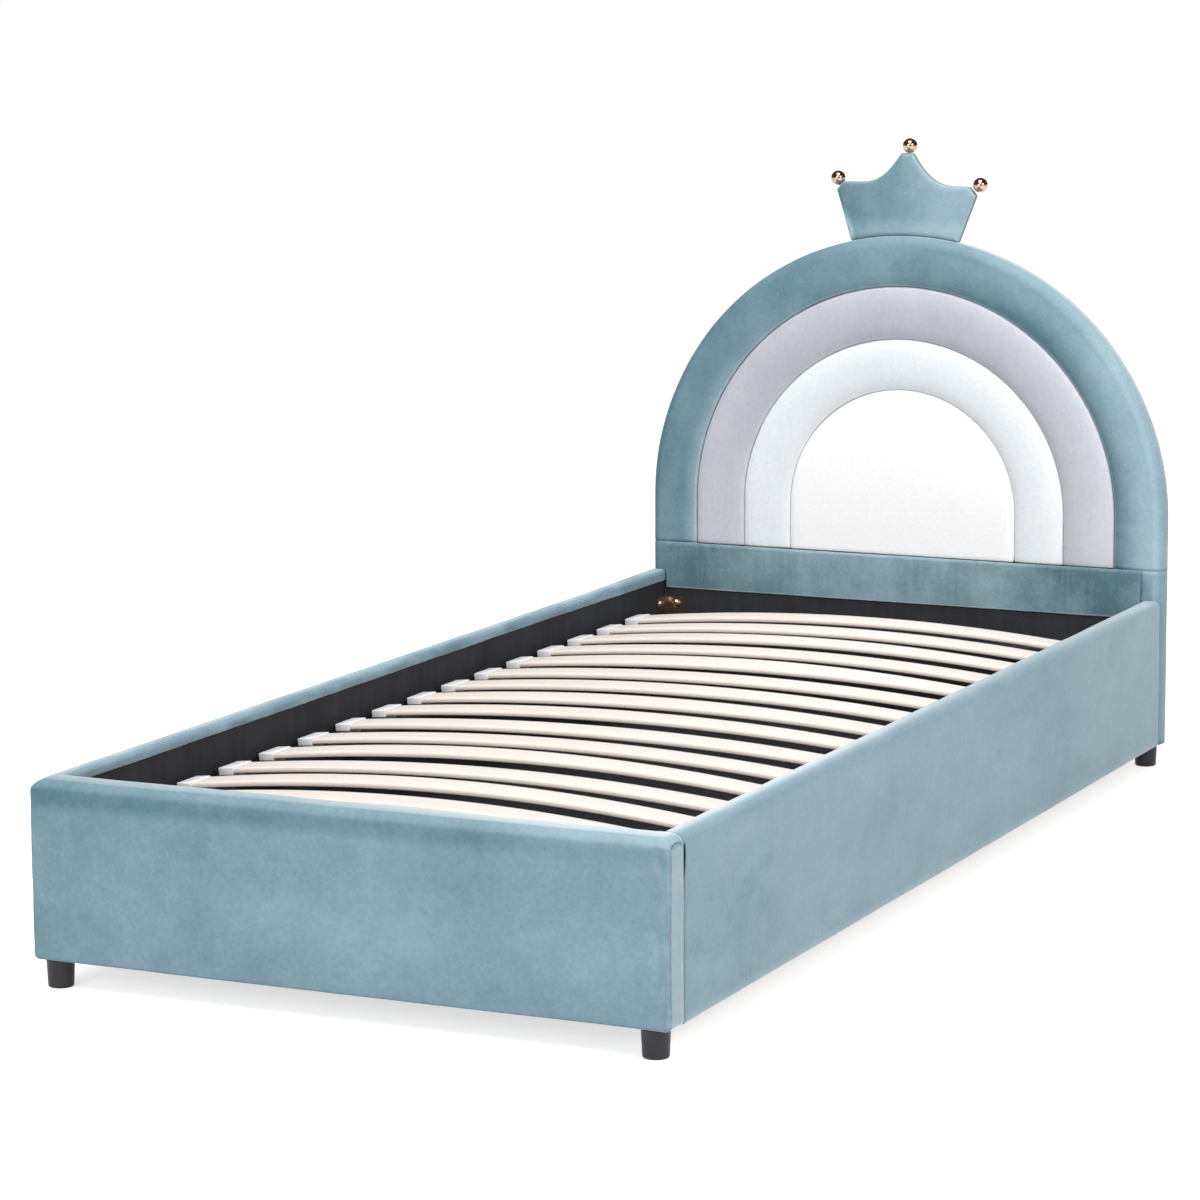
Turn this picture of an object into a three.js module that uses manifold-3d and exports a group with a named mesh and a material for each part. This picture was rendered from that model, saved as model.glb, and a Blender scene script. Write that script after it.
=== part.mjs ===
// A child's upholstered storage bed: a padded box with a bowed-slat base that lifts on two gas
// struts, and a rainbow headboard with a small crown. Millimetres, +Z up, the headboard at +Y.
// The origin lies on the floor, midway between the foot panel's face and the headboard's back.
import * as THREE from "three";
import { mergeVertices } from "three/addons/utils/BufferGeometryUtils.js";
import Module from "manifold-3d";

const wasm = await Module();
wasm.setup();

// Fits
const SEAT = 0.3; // gap between faces that touch
const RUN = 0.4; // radial clearance of a turning pin

// The sleeping surface sets the size of the box
const MATTRESS_WIDTH = 900;
const MATTRESS_LENGTH = 2000;
const MATTRESS_SIDE_EASE = 0.5;
const MATTRESS_END_EASE = 19;

// Box panels
const LEG_HEIGHT = 40;
const LEG_FROM_SIDE = 30;
const LEG_TOP_RADIUS = 20;
const LEG_BOTTOM_RADIUS = 18;
const PANEL_HEIGHT = 255;
const RAIL_THICKNESS = 32;
const FOOT_THICKNESS = 45;
const FOOT_CORNER_RADIUS = 17;
const FOOT_LOW_CORNER_RADIUS = 9;
const COVER_FOAM = 8; // velvet and foam over the outer faces
const COVER_EDGE_RADIUS = 10;
const COVER_LAP = 17; // how far the velvet turns down inside the box
const COVER_LAP_THICKNESS = 2;
const BOARD_STEP = 2; // the lined boards lie behind the velvet's turned edge by this much

// Headboard
const HEADBOARD_THICKNESS = 48;
const HEADBOARD_BOARD = 18;
const ARCH_SPRING_HEIGHT = 428; // where the legs of the arch end and the half circle starts
const SEAM_HEIGHT = 346; // the pads stand on this line
const BLUE_BAND = 88.3;
const GREY_BAND = 92.7;
const PALE_BAND = 89.2;
const PAD_EDGE_DROP = 12; // how far a pad's face falls from its crown to its seams
const PAD_SQUARENESS = 2.7; // 2 is a round crown, higher is flatter with tighter edges
const PAD_GROOVE = 0.6;
const HEADBOARD_EDGE_RADIUS = 14;
const BACK_LAP = 17;
const BACK_CLOTH = 1.2;
const ARCH_STEPS = 32;

// Panel across the head of the box, between the rails
const CROSS_PANEL_THICKNESS = 12;
const CROSS_PANEL_EASE = 5.5; // from each of its ends to the velvet on the rail
const CROSS_COVER_HEIGHT = 82.7;
const CROSS_COVER_THICKNESS = 3;
const CROSS_COVER_TOP = 6;
const CROSS_COVER_END = 2;

// Crown
const CROWN_THICKNESS = 30;
const CROWN_FOOT_HALF = 101;
const CROWN_SHOULDER_HALF = 130.5;
const CROWN_SHOULDER_RISE = 78; // shoulder above the top of the arch
const CROWN_HORN_WIDTH = 11;
const CROWN_HORN_RISE = 12;
const CROWN_TIP_RISE = 143.5;
const CROWN_TIP_HALF = 11.5;
const CROWN_EDGE_ROUND = 7;
const BALL_RADIUS = 13;
const BALL_SEAT_RADIUS = 4.5;
const CROWN_BAR_X = 45;
const CROWN_BAR_WIDTH = 25;
const CROWN_BAR_LENGTH = 116;
const CROWN_BAR_THICKNESS = 3;
const BAR_SCREW_RADIUS = 5;
const BAR_SCREW_HEAD = 2.2;

// Corner angles with domed bolts
const ANGLE_LEAF = 37;
const ANGLE_HEIGHT = 64;
const ANGLE_BELOW_VELVET = 16.6; // under the lower of the velvet edges that it meets
const ANGLE_THICKNESS = 2.5;
const ANGLE_CORNER_RADIUS = 8;
const BOLT_HEAD_RADIUS = 8.6;
const BOLT_HEAD_HEIGHT = 5.5;
const BOLT_SOCKET_RADIUS = 3.2;
const BOLT_PITCH = 38;
const BOLT_FROM_CORNER = 21.5;

// Storage floor
const LEDGE_WIDTH = 20;
const LEDGE_HEIGHT = 20;
const LEDGE_LIFT = 1; // above the panels' lower edge
const FLOOR_THICKNESS = 6;
const FLOOR_BEAM_WIDTH = 60;

// Slat frame
const TUBE_WIDTH = 25;
const TUBE_HEIGHT = 30;
const TUBE_WALL = 2;
const TUBE_BOTTOM = 185;
const FRAME_SIDE_GAP = 13; // beside the frame, to the velvet on the rails
const FRAME_FOOT_GAP = 65;
const FRAME_HEAD_GAP = 57;

// Bowed slats in their holders
const SLAT_COUNT = 15;
const SLAT_WIDTH = 53;
const SLAT_THICKNESS = 8;
const SLAT_EDGE = 3;
const SLAT_CAMBER = 25.2;
const SLAT_FROM_FOOT = 155; // foot panel to the first slat
const SLAT_FROM_HEAD = 147; // last slat to the panel across the head
const SLAT_STEPS = 12;
const HOLDER_LENGTH = 24;
const HOLDER_WALL = 1.6;
const HOLDER_LIFT = 5.8; // least height of a holder's sleeve above the tube
const HOLDER_FOOT_WIDTH = 30;
const HOLDER_FOOT_LENGTH = 19;

// Lift: the frame turns on two pins near the head, pushed by two struts
const LIFT_ANGLE = THREE.MathUtils.degToRad(42);
const PIVOT_FROM_FRAME_END = 47;
const STRUT_FOOT_PAST_PIVOT = 30;
const STRUT_FOOT_BELOW_PIVOT = 108;
const STRUT_HEAD_BEFORE_PIVOT = 248;
const STRUT_HEAD_BELOW_PIVOT = 30;
const PLATE_THICKNESS = 3;
const PLATE_MARGIN = 20;
const PIVOT_RADIUS = 5;
const PIVOT_HEAD_RADIUS = 9;
const PIVOT_HEAD_HEIGHT = 5;
const COLLAR_RADIUS = 11;
const STRUT_PIN_RADIUS = 4;
const STRUT_PIN_HEAD = 2.6;
const STRUT_SHOULDER_RADIUS = 8;
const EYE_THICKNESS = 6;
const EYE_WALL = 5;
const CYLINDER_RADIUS = 10;
const CYLINDER_LENGTH = 172;
const CYLINDER_BORE_DEPTH = 150;
const CYLINDER_NECK = 6;
const ROD_RADIUS = 4;
const ROD_LENGTH = 170;
const FERRULE_RADIUS = 5.5;
const FERRULE_LENGTH = 12;
const LUG_THICKNESS = 3.5;
const LUG_WIDTH = 40;
const LUG_DROP = 13; // below the strut's head pin
const REST_LENGTH = 50;
const REST_FROM_FRAME_END = 60;
const REST_THICKNESS = 3;
const REST_LEAF = 42;

// Places worked out from the sizes above
const innerWidth = MATTRESS_WIDTH + 2 * MATTRESS_SIDE_EASE;
const bedWidth = innerWidth + 2 * RAIL_THICKNESS;
const innerHalf = innerWidth / 2;
const halfWidth = bedWidth / 2;
const footBack = FOOT_THICKNESS;
const crossFront = footBack + MATTRESS_LENGTH + MATTRESS_END_EASE;
const headFront = crossFront + CROSS_PANEL_THICKNESS;
const headBack = headFront + HEADBOARD_THICKNESS;
const bedBack = headBack + SEAT + CROWN_BAR_THICKNESS + BAR_SCREW_HEAD;
const panelBottom = LEG_HEIGHT;
const panelTop = panelBottom + PANEL_HEIGHT;
const boardFace = innerHalf + BOARD_STEP; // inner face of each lined side board
const archTop = ARCH_SPRING_HEIGHT + halfWidth;
const padDepth = HEADBOARD_THICKNESS - HEADBOARD_BOARD - COVER_LAP_THICKNESS - SEAT;
const blueInner = halfWidth - BLUE_BAND;
const greyInner = blueInner - GREY_BAND;
const paleInner = greyInner - PALE_BAND;
const tubeTop = TUBE_BOTTOM + TUBE_HEIGHT;
const tubeOuter = innerHalf - FRAME_SIDE_GAP;
const tubeInner = tubeOuter - TUBE_WIDTH;
const frameFoot = footBack + FRAME_FOOT_GAP;
const frameHead = crossFront - FRAME_HEAD_GAP;
const floorTop = panelBottom + LEDGE_LIFT + LEDGE_HEIGHT + SEAT + FLOOR_THICKNESS;
const pivotY = frameHead - PIVOT_FROM_FRAME_END;
const pivotZ = TUBE_BOTTOM + TUBE_HEIGHT / 2;
const plateFace = boardFace - SEAT - PLATE_THICKNESS;
const strutX = (tubeInner + tubeOuter) / 2;
const velvetEdge = Math.min(SEAM_HEIGHT - CROSS_COVER_HEIGHT, panelTop - COVER_LAP);
const angleTop = velvetEdge - ANGLE_BELOW_VELVET;

// Materials
const paint = (color, roughness, metalness = 0) =>
  new THREE.MeshStandardMaterial({ color, roughness, metalness, flatShading: true });
const blueVelvet = paint(0x7b9dab, 0.85);
const greyVelvet = paint(0xb9bac4, 0.85);
const paleVelvet = paint(0xdbe5ec, 0.85);
const whiteVelvet = paint(0xf6f6f8, 0.85);
const blackLining = paint(0x26262a, 0.9);
const rawBoard = paint(0xb79b74, 0.8);
const birch = paint(0xeadccb, 0.55);
const blackSteel = paint(0x1d1e20, 0.45, 0.6);
const blackPlastic = paint(0x1b1b1d, 0.5);
const roseBrass = paint(0xc79a78, 0.15, 1);
const zincSteel = paint(0xb4b6b8, 0.35, 1);
const chromeRod = paint(0xd8dadd, 0.12, 1);

// Solids from geometries, joined and cut
function toSolid(geometry) {
  const bare = geometry.clone();
  bare.deleteAttribute("normal");
  bare.deleteAttribute("uv");
  const merged = mergeVertices(bare, 1e-4);
  return new wasm.Manifold(
    new wasm.Mesh({
      numProp: 3,
      vertProperties: merged.attributes.position.array,
      triVerts: new Uint32Array(merged.index.array),
    }),
  );
}

function toGeometry(solid) {
  const mesh = solid.getMesh();
  const geometry = new THREE.BufferGeometry();
  const points = new Float32Array(mesh.vertProperties);
  geometry.setAttribute("position", new THREE.BufferAttribute(points, 3));
  geometry.setIndex(new THREE.BufferAttribute(new Uint32Array(mesh.triVerts), 1));
  return geometry;
}

const join = (geometries) =>
  toGeometry(geometries.map(toSolid).reduce((whole, piece) => whole.add(piece)));

const cut = (geometry, tools) =>
  toGeometry(tools.map(toSolid).reduce((whole, tool) => whole.subtract(tool), toSolid(geometry)));

// A box between two corners
function block([x0, y0, z0], [x1, y1, z1]) {
  const box = new THREE.BoxGeometry(x1 - x0, y1 - y0, z1 - z0);
  return box.translate((x0 + x1) / 2, (y0 + y1) / 2, (z0 + z1) / 2);
}

// A cylinder along X between two places
function crossPin(radius, x0, x1, y, z, sides = 16) {
  const pin = new THREE.CylinderGeometry(radius, radius, Math.abs(x1 - x0), sides);
  return pin.rotateZ(Math.PI / 2).translate((x0 + x1) / 2, y, z);
}

// A shape drawn in Y and Z, as thick as the gap between two places along X
function acrossX(shape, x0, x1, curveSegments = 6) {
  const depth = x1 - x0;
  const geometry = new THREE.ExtrudeGeometry(shape, { depth, bevelEnabled: false, curveSegments });
  const turn = new THREE.Matrix4().set(0, 0, 1, x0, 1, 0, 0, 0, 0, 1, 0, 0, 0, 0, 0, 1);
  return geometry.applyMatrix4(turn);
}

// A shape drawn in X and Z, as thick as the gap between two places along Y
function acrossY(shape, y0, y1, options = {}) {
  const depth = y1 - y0;
  const settings = { depth, bevelEnabled: false, curveSegments: 6, ...options };
  const geometry = new THREE.ExtrudeGeometry(shape, settings);
  return geometry.rotateX(Math.PI / 2).translate(0, y1, 0);
}

function roundedRectangle(x0, y0, x1, y1, radius, shape = new THREE.Shape(), low = radius) {
  shape.moveTo(x0 + low, y0);
  shape.lineTo(x1 - low, y0);
  shape.absarc(x1 - low, y0 + low, low, -Math.PI / 2, 0);
  shape.lineTo(x1, y1 - radius);
  shape.absarc(x1 - radius, y1 - radius, radius, 0, Math.PI / 2);
  shape.lineTo(x0 + radius, y1);
  shape.absarc(x0 + radius, y1 - radius, radius, Math.PI / 2, Math.PI);
  shape.lineTo(x0, y0 + low);
  shape.absarc(x0 + low, y0 + low, low, Math.PI, 1.5 * Math.PI);
  return shape;
}

// A closed body through rings of points; the section gives the flat shape of both ends
function loft(rings, section) {
  const count = section.length;
  const points = rings.flat(2);
  const faces = [];
  for (let ring = 0; ring + 1 < rings.length; ring++) {
    for (let i = 0; i < count; i++) {
      const a = ring * count + i;
      const b = ring * count + ((i + 1) % count);
      faces.push(a, b, b + count, a, b + count, a + count);
    }
  }
  const flat = section.map(([u, v]) => new THREE.Vector2(u, v));
  const last = (rings.length - 1) * count;
  for (const [a, b, c] of THREE.ShapeUtils.triangulateShape(flat, [])) {
    const clockwise = THREE.ShapeUtils.isClockWise([flat[a], flat[b], flat[c]]);
    const [p, q, r] = clockwise ? [a, c, b] : [a, b, c];
    const forward = !THREE.ShapeUtils.isClockWise(flat);
    faces.push(...(forward ? [r, q, p] : [p, q, r]));
    faces.push(...(forward ? [last + p, last + q, last + r] : [last + r, last + q, last + p]));
  }
  const geometry = new THREE.BufferGeometry();
  geometry.setAttribute("position", new THREE.Float32BufferAttribute(points, 3));
  geometry.setIndex(faces);
  return faceOutward(geometry);
}

function faceOutward(geometry) {
  const index = geometry.index.array;
  const position = geometry.attributes.position;
  const [a, b, c] = [new THREE.Vector3(), new THREE.Vector3(), new THREE.Vector3()];
  let volume = 0;
  for (let i = 0; i < index.length; i += 3) {
    a.fromBufferAttribute(position, index[i]);
    b.fromBufferAttribute(position, index[i + 1]);
    c.fromBufferAttribute(position, index[i + 2]);
    volume += a.dot(b.cross(c));
  }
  if (volume < 0) geometry.index.array.reverse();
  return geometry;
}

// The bed's own group moves everything so that the origin lies midway along it
const bed = new THREE.Group();
bed.position.y = -bedBack / 2;

function add(name, geometry, material, parent = bed) {
  const mesh = new THREE.Mesh(geometry, material);
  mesh.name = name;
  parent.add(mesh);
  return mesh;
}

// One group for each side; the left one is the right one mirrored
const sides = [
  ["right", 1],
  ["left", -1],
].map(([name, sign]) => {
  const group = new THREE.Group();
  group.scale.x = sign;
  bed.add(group);
  return { name, group };
});

// Side rails: a board lined in black, in a padded cover that turns in over its top edge
const railEnds = [footBack + SEAT, headFront - SEAT];
const railBoardTop = panelTop - COVER_FOAM - SEAT;
const railBoardBottom = panelBottom + COVER_LAP_THICKNESS + SEAT;
const railBoardOuter = halfWidth - COVER_FOAM - SEAT;

function railCoverShape() {
  const lapInner = innerHalf;
  const lapOuter = boardFace - SEAT;
  const radius = COVER_EDGE_RADIUS;
  const shape = new THREE.Shape();
  shape.moveTo(lapInner, panelTop - COVER_LAP);
  shape.lineTo(lapInner, panelTop - radius);
  shape.absarc(lapInner + radius, panelTop - radius, radius, Math.PI, Math.PI / 2, true);
  shape.absarc(halfWidth - radius, panelTop - radius, radius, Math.PI / 2, 0, true);
  shape.lineTo(halfWidth, panelBottom + radius / 2);
  shape.absarc(halfWidth - radius / 2, panelBottom + radius / 2, radius / 2, 0, -Math.PI / 2, true);
  shape.lineTo(lapInner + COVER_LAP / 2, panelBottom);
  shape.lineTo(lapInner + COVER_LAP / 2, panelBottom + COVER_LAP_THICKNESS);
  shape.lineTo(halfWidth - COVER_FOAM, panelBottom + COVER_LAP_THICKNESS);
  shape.lineTo(halfWidth - COVER_FOAM, panelTop - COVER_FOAM);
  shape.lineTo(lapOuter, panelTop - COVER_FOAM);
  shape.lineTo(lapOuter, panelTop - COVER_LAP);
  return shape;
}

for (const { name, group } of sides) {
  const board = block(
    [boardFace, railEnds[0], railBoardBottom],
    [railBoardOuter, railEnds[1], railBoardTop],
  );
  add(`rail_board_${name}`, board, blackLining, group);
  const cover = acrossY(railCoverShape(), ...railEnds, { curveSegments: 4 });
  add(`rail_cover_${name}`, cover, blueVelvet, group);
}

// Foot panel: a padded tray with rounded corners over a lined board
const footBoardFront = COVER_FOAM + SEAT;
const footBoardBack = footBack - BOARD_STEP;

function footOutline(inset, least = 0.7) {
  const half = halfWidth - inset;
  const [low, high] = [FOOT_LOW_CORNER_RADIUS - inset, FOOT_CORNER_RADIUS - inset];
  return roundedRectangle(-half, panelBottom + inset, half, panelTop - inset,
    Math.max(high, least), new THREE.Shape(), Math.max(low, least));
}

const footBevel = COVER_EDGE_RADIUS - 2;
const footShell = acrossY(footOutline(footBevel), footBevel, footBack - footBevel, {
  bevelEnabled: true,
  bevelThickness: footBevel,
  bevelSize: footBevel,
  bevelSegments: 3,
  curveSegments: 3,
});
const footPocket = acrossY(footOutline(COVER_FOAM), COVER_FOAM, footBoardBack + SEAT);
const footWindow = acrossY(footOutline(COVER_LAP, 4), footBoardBack - 1, footBack + 1);
add("foot_cover", cut(footShell, [footPocket, footWindow]), blueVelvet);
const footBoard = acrossY(footOutline(COVER_FOAM + SEAT), footBoardFront, footBoardBack);
add("foot_board", footBoard, blackLining);

// Legs: slightly tapered posts under the ends of the foot panel and the headboard
const legX = halfWidth - LEG_FROM_SIDE;
const legProfile = [
  [0, 0],
  [LEG_BOTTOM_RADIUS - 2.5, 0],
  [LEG_BOTTOM_RADIUS - 0.7, 0.8],
  [LEG_BOTTOM_RADIUS, 2.8],
  [LEG_TOP_RADIUS - 0.3, LEG_HEIGHT - 4],
  [LEG_TOP_RADIUS, LEG_HEIGHT - 3],
  [LEG_TOP_RADIUS, LEG_HEIGHT - SEAT],
  [0, LEG_HEIGHT - SEAT],
].map(([r, z]) => new THREE.Vector2(r, z));
const legGeometry = new THREE.LatheGeometry(legProfile, 20).rotateX(Math.PI / 2);
for (const { name, group } of sides) {
  for (const [end, y] of [
    ["foot", FOOT_THICKNESS / 2],
    ["head", headFront + HEADBOARD_THICKNESS / 2],
  ]) {
    const leg = add(`leg_${end}_${name}`, legGeometry, blackPlastic, group);
    leg.position.set(legX, y, 0);
  }
}

// Headboard: an arched board, padded bands swept round it, and a cloth back
const boardRadius = halfWidth - COVER_FOAM - SEAT;
const boardFront = headBack - COVER_LAP_THICKNESS - HEADBOARD_BOARD;
const boardBack = headBack - COVER_LAP_THICKNESS;

function archShape(radius, bottom) {
  const shape = new THREE.Shape();
  shape.moveTo(-radius, bottom);
  shape.lineTo(radius, bottom);
  shape.lineTo(radius, ARCH_SPRING_HEIGHT);
  shape.absarc(0, ARCH_SPRING_HEIGHT, radius, 0, Math.PI);
  return shape;
}

const headboardBoard = acrossY(archShape(boardRadius, railBoardBottom), boardFront, boardBack, {
  curveSegments: ARCH_STEPS / 2,
});
add("headboard_board", headboardBoard, rawBoard);
const backCloth = acrossY(
  archShape(halfWidth - BACK_LAP - SEAT, railBoardBottom + BACK_LAP),
  boardBack + SEAT,
  boardBack + SEAT + BACK_CLOTH,
  { curveSegments: ARCH_STEPS / 2 },
);
add("headboard_back_cloth", backCloth, blackLining);

// Stations of the sweep: up the left leg, round the half circle and down the right leg
function archStations(legs) {
  const rising = legs.map(([z, fullness]) => ({ turn: 0, z, fullness }));
  const round = [];
  for (let i = 0; i <= ARCH_STEPS; i++) {
    round.push({ turn: (Math.PI * i) / ARCH_STEPS, z: ARCH_SPRING_HEIGHT, fullness: 1 });
  }
  const falling = rising.map((station) => ({ ...station, turn: Math.PI })).reverse();
  return [...rising, ...round, ...falling];
}

function sweepBand(stations, sectionAt) {
  const rings = stations.map(({ turn, z, fullness }) =>
    sectionAt(fullness).map(([radius, depth]) => [
      -radius * Math.cos(turn),
      headFront + depth,
      z + radius * Math.sin(turn),
    ]),
  );
  return loft(rings, sectionAt(1));
}

// How far a pad's face stands proud of its seams, from 0 at an edge to 1 on the crown
const crownAt = (share) =>
  (1 - Math.abs(2 * share - 1) ** PAD_SQUARENESS) ** (1 / PAD_SQUARENESS);

function padSection(inner, outer, fullness, steps = 8) {
  const section = [];
  for (let i = 0; i <= steps; i++) {
    const share = (1 - Math.cos((Math.PI * i) / steps)) / 2;
    const depth = PAD_EDGE_DROP * (1 - fullness * crownAt(share));
    section.push([inner + (outer - inner) * share, depth]);
  }
  return [...section, [outer, padDepth], [inner, padDepth]];
}

// The outer band wraps round the board's edge and is stapled behind it
function wrapSection(inner, fullness) {
  const radius = HEADBOARD_EDGE_RADIUS;
  const face = PAD_EDGE_DROP * (1 - fullness);
  const front = padSection(inner, halfWidth, fullness).slice(0, 5);
  const round = [];
  for (let i = 0; i <= 4; i++) {
    const a = (Math.PI / 2) * (i / 4);
    round.push([halfWidth - radius * (1 - Math.sin(a)), face + radius * (1 - Math.cos(a))]);
  }
  const back = HEADBOARD_THICKNESS;
  return [
    ...front,
    ...round,
    [halfWidth, back - 4],
    [halfWidth - 4, back],
    [halfWidth - BACK_LAP, back],
    [halfWidth - BACK_LAP, back - COVER_LAP_THICKNESS + SEAT],
    [halfWidth - COVER_FOAM, back - COVER_LAP_THICKNESS + SEAT],
    [halfWidth - COVER_FOAM, padDepth],
    [inner, padDepth],
  ];
}

const SEAM_PINCH = 0.55; // fullness left where the band is sewn across
const SEAM_SPREAD = 9;
const blueLegs = [
  [panelBottom, 1],
  [SEAM_HEIGHT - SEAM_SPREAD, 1],
  [SEAM_HEIGHT, SEAM_PINCH],
  [SEAM_HEIGHT + SEAM_SPREAD, 1],
];
const blueSection = (fullness) => wrapSection(blueInner + PAD_GROOVE / 2, fullness);
add("headboard_blue_band", sweepBand(archStations(blueLegs), blueSection), blueVelvet);

const padLegs = [
  [SEAM_HEIGHT + SEAT, 0],
  [SEAM_HEIGHT + SEAT + 3, 0.55],
  [SEAM_HEIGHT + SEAT + PAD_EDGE_DROP, 1],
];
for (const [name, inner, outer, velvet] of [
  ["headboard_grey_band", greyInner, blueInner, greyVelvet],
  ["headboard_pale_band", paleInner, greyInner, paleVelvet],
]) {
  const sectionAt = (fullness) =>
    padSection(inner + PAD_GROOVE / 2, outer - PAD_GROOVE / 2, fullness);
  add(name, sweepBand(archStations(padLegs), sectionAt), velvet);
}

// The middle pad: a domed half disc, drawn down to its seam all round
const centreRound = 36;
const centreOutline = archShape(
  paleInner - PAD_GROOVE / 2 - centreRound,
  SEAM_HEIGHT + SEAT + centreRound,
);
const centrePad = acrossY(
  centreOutline,
  headFront + PAD_EDGE_DROP,
  headFront + padDepth,
  {
    bevelEnabled: true,
    bevelThickness: PAD_EDGE_DROP,
    bevelSize: centreRound,
    bevelSegments: 5,
    curveSegments: ARCH_STEPS / 2 - 2,
  },
);
const behindPads = block(
  [-halfWidth, headFront + padDepth, panelBottom],
  [halfWidth, headBack, archTop],
);
add("headboard_centre_pad", cut(centrePad, [behindPads]), whiteVelvet);

// Panel across the head of the box: lined board with velvet over its upper part
const crossHalf = innerHalf - CROSS_PANEL_EASE;
const crossBoardHalf = crossHalf - CROSS_COVER_END - SEAT;
const crossBoardTop = SEAM_HEIGHT - CROSS_COVER_TOP - SEAT;
const crossBoard = block(
  [-crossBoardHalf, crossFront + CROSS_COVER_THICKNESS + SEAT, railBoardBottom],
  [crossBoardHalf, headFront - SEAT, crossBoardTop],
);
add("cross_panel_board", crossBoard, blackLining);

// The velvet goes over the board's front, top and ends, and is rounded over the front edge
function crossHoodShape(bottom) {
  const [front, back] = [crossFront, headFront - SEAT];
  const round = Math.min(COVER_EDGE_RADIUS, (back - front) / 2);
  const shape = new THREE.Shape();
  shape.moveTo(front, bottom);
  shape.lineTo(back, bottom);
  shape.lineTo(back, SEAM_HEIGHT);
  shape.lineTo(front + round, SEAM_HEIGHT);
  shape.absarc(front + round, SEAM_HEIGHT - round, round, Math.PI / 2, Math.PI);
  return shape;
}

const hoodBottom = SEAM_HEIGHT - CROSS_COVER_HEIGHT;
const hoodInner = crossBoardHalf + SEAT;
const crossPocket = block(
  [-hoodInner, crossFront + CROSS_COVER_THICKNESS, hoodBottom - 1],
  [hoodInner, headFront, SEAM_HEIGHT - CROSS_COVER_TOP],
);
const crossHood = acrossX(crossHoodShape(hoodBottom), -crossHalf, crossHalf);
add("cross_panel_cover", cut(crossHood, [crossPocket]), blueVelvet);

// Crown: a padded cut-out seated on the arch, with a ball on each of its three points
const crownBottomRadius = halfWidth + SEAT;
const crownBack = headBack;
const crownMiddle = crownBack - CROWN_THICKNESS / 2;
const shoulder = new THREE.Vector2(CROWN_SHOULDER_HALF, archTop + CROWN_SHOULDER_RISE);
const horn = new THREE.Vector2(
  CROWN_SHOULDER_HALF - CROWN_HORN_WIDTH,
  shoulder.y + CROWN_HORN_RISE,
);
const tipZ = archTop + CROWN_TIP_RISE;

function crownOutline() {
  const footTurn = Math.acos(CROWN_FOOT_HALF / crownBottomRadius);
  const valley = CROWN_TIP_HALF + (horn.x - CROWN_TIP_HALF) * 0.3;
  const shape = new THREE.Shape();
  shape.moveTo(shoulder.x, shoulder.y);
  shape.lineTo(horn.x, horn.y);
  shape.lineTo(horn.x * 0.72, horn.y);
  shape.bezierCurveTo(valley + 6, horn.y + 2, valley - 11, horn.y + 22, CROWN_TIP_HALF, tipZ);
  shape.lineTo(-CROWN_TIP_HALF, tipZ);
  shape.bezierCurveTo(-valley + 11, horn.y + 22, -valley - 6, horn.y + 2, -horn.x * 0.72, horn.y);
  shape.lineTo(-horn.x, horn.y);
  shape.lineTo(-shoulder.x, shoulder.y);
  shape.absarc(0, ARCH_SPRING_HEIGHT, crownBottomRadius, Math.PI - footTurn, footTurn, true);
  return shape.getPoints(8);
}

// The same outline drawn in by a distance, corner by corner
function insetOutline(points, distance) {
  return points.map((point, i) => {
    const before = points.at(i - 1);
    const after = points[(i + 1) % points.length];
    const arriving = point.clone().sub(before).normalize();
    const leaving = after.clone().sub(point).normalize();
    const inward = new THREE.Vector2(-arriving.y - leaving.y, arriving.x + leaving.x).normalize();
    const reach = distance / (inward.y * arriving.x - inward.x * arriving.y);
    return point.clone().addScaledVector(inward, reach);
  });
}

const crownBody = acrossY(
  new THREE.Shape(insetOutline(crownOutline(), CROWN_EDGE_ROUND)),
  crownBack - CROWN_THICKNESS + CROWN_EDGE_ROUND,
  crownBack - CROWN_EDGE_ROUND,
  {
    bevelEnabled: true,
    bevelThickness: CROWN_EDGE_ROUND,
    bevelSize: CROWN_EDGE_ROUND,
    bevelSegments: 4,
  },
);
add("crown_pad", crownBody, blueVelvet);

function ballProfile() {
  const start = Math.asin(BALL_SEAT_RADIUS / BALL_RADIUS);
  const profile = [new THREE.Vector2(0, -Math.cos(start) * BALL_RADIUS)];
  const steps = 10;
  for (let i = 0; i <= steps; i++) {
    const a = start + ((Math.PI - start) * i) / steps;
    const radius = i === steps ? 0 : Math.sin(a) * BALL_RADIUS;
    profile.push(new THREE.Vector2(radius, -Math.cos(a) * BALL_RADIUS));
  }
  return profile;
}

const ballGeometry = new THREE.LatheGeometry(ballProfile(), 16);
const ballLift = Math.cos(Math.asin(BALL_SEAT_RADIUS / BALL_RADIUS)) * BALL_RADIUS + SEAT;
const hornLean = Math.atan2(shoulder.x - horn.x, horn.y - shoulder.y);
const hornOut = Math.PI / 2 - hornLean;
for (const [name, x, z, lean] of [
  ["crown_ball_left", -(shoulder.x + horn.x) / 2, (shoulder.y + horn.y) / 2, -hornOut],
  ["crown_ball_middle", 0, tipZ, 0],
  ["crown_ball_right", (shoulder.x + horn.x) / 2, (shoulder.y + horn.y) / 2, hornOut],
]) {
  const ball = add(name, ballGeometry, roseBrass);
  ball.rotation.set(Math.PI / 2, lean, 0, "YXZ");
  ball.position.set(x + Math.sin(lean) * ballLift, crownMiddle, z + Math.cos(lean) * ballLift);
}

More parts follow.
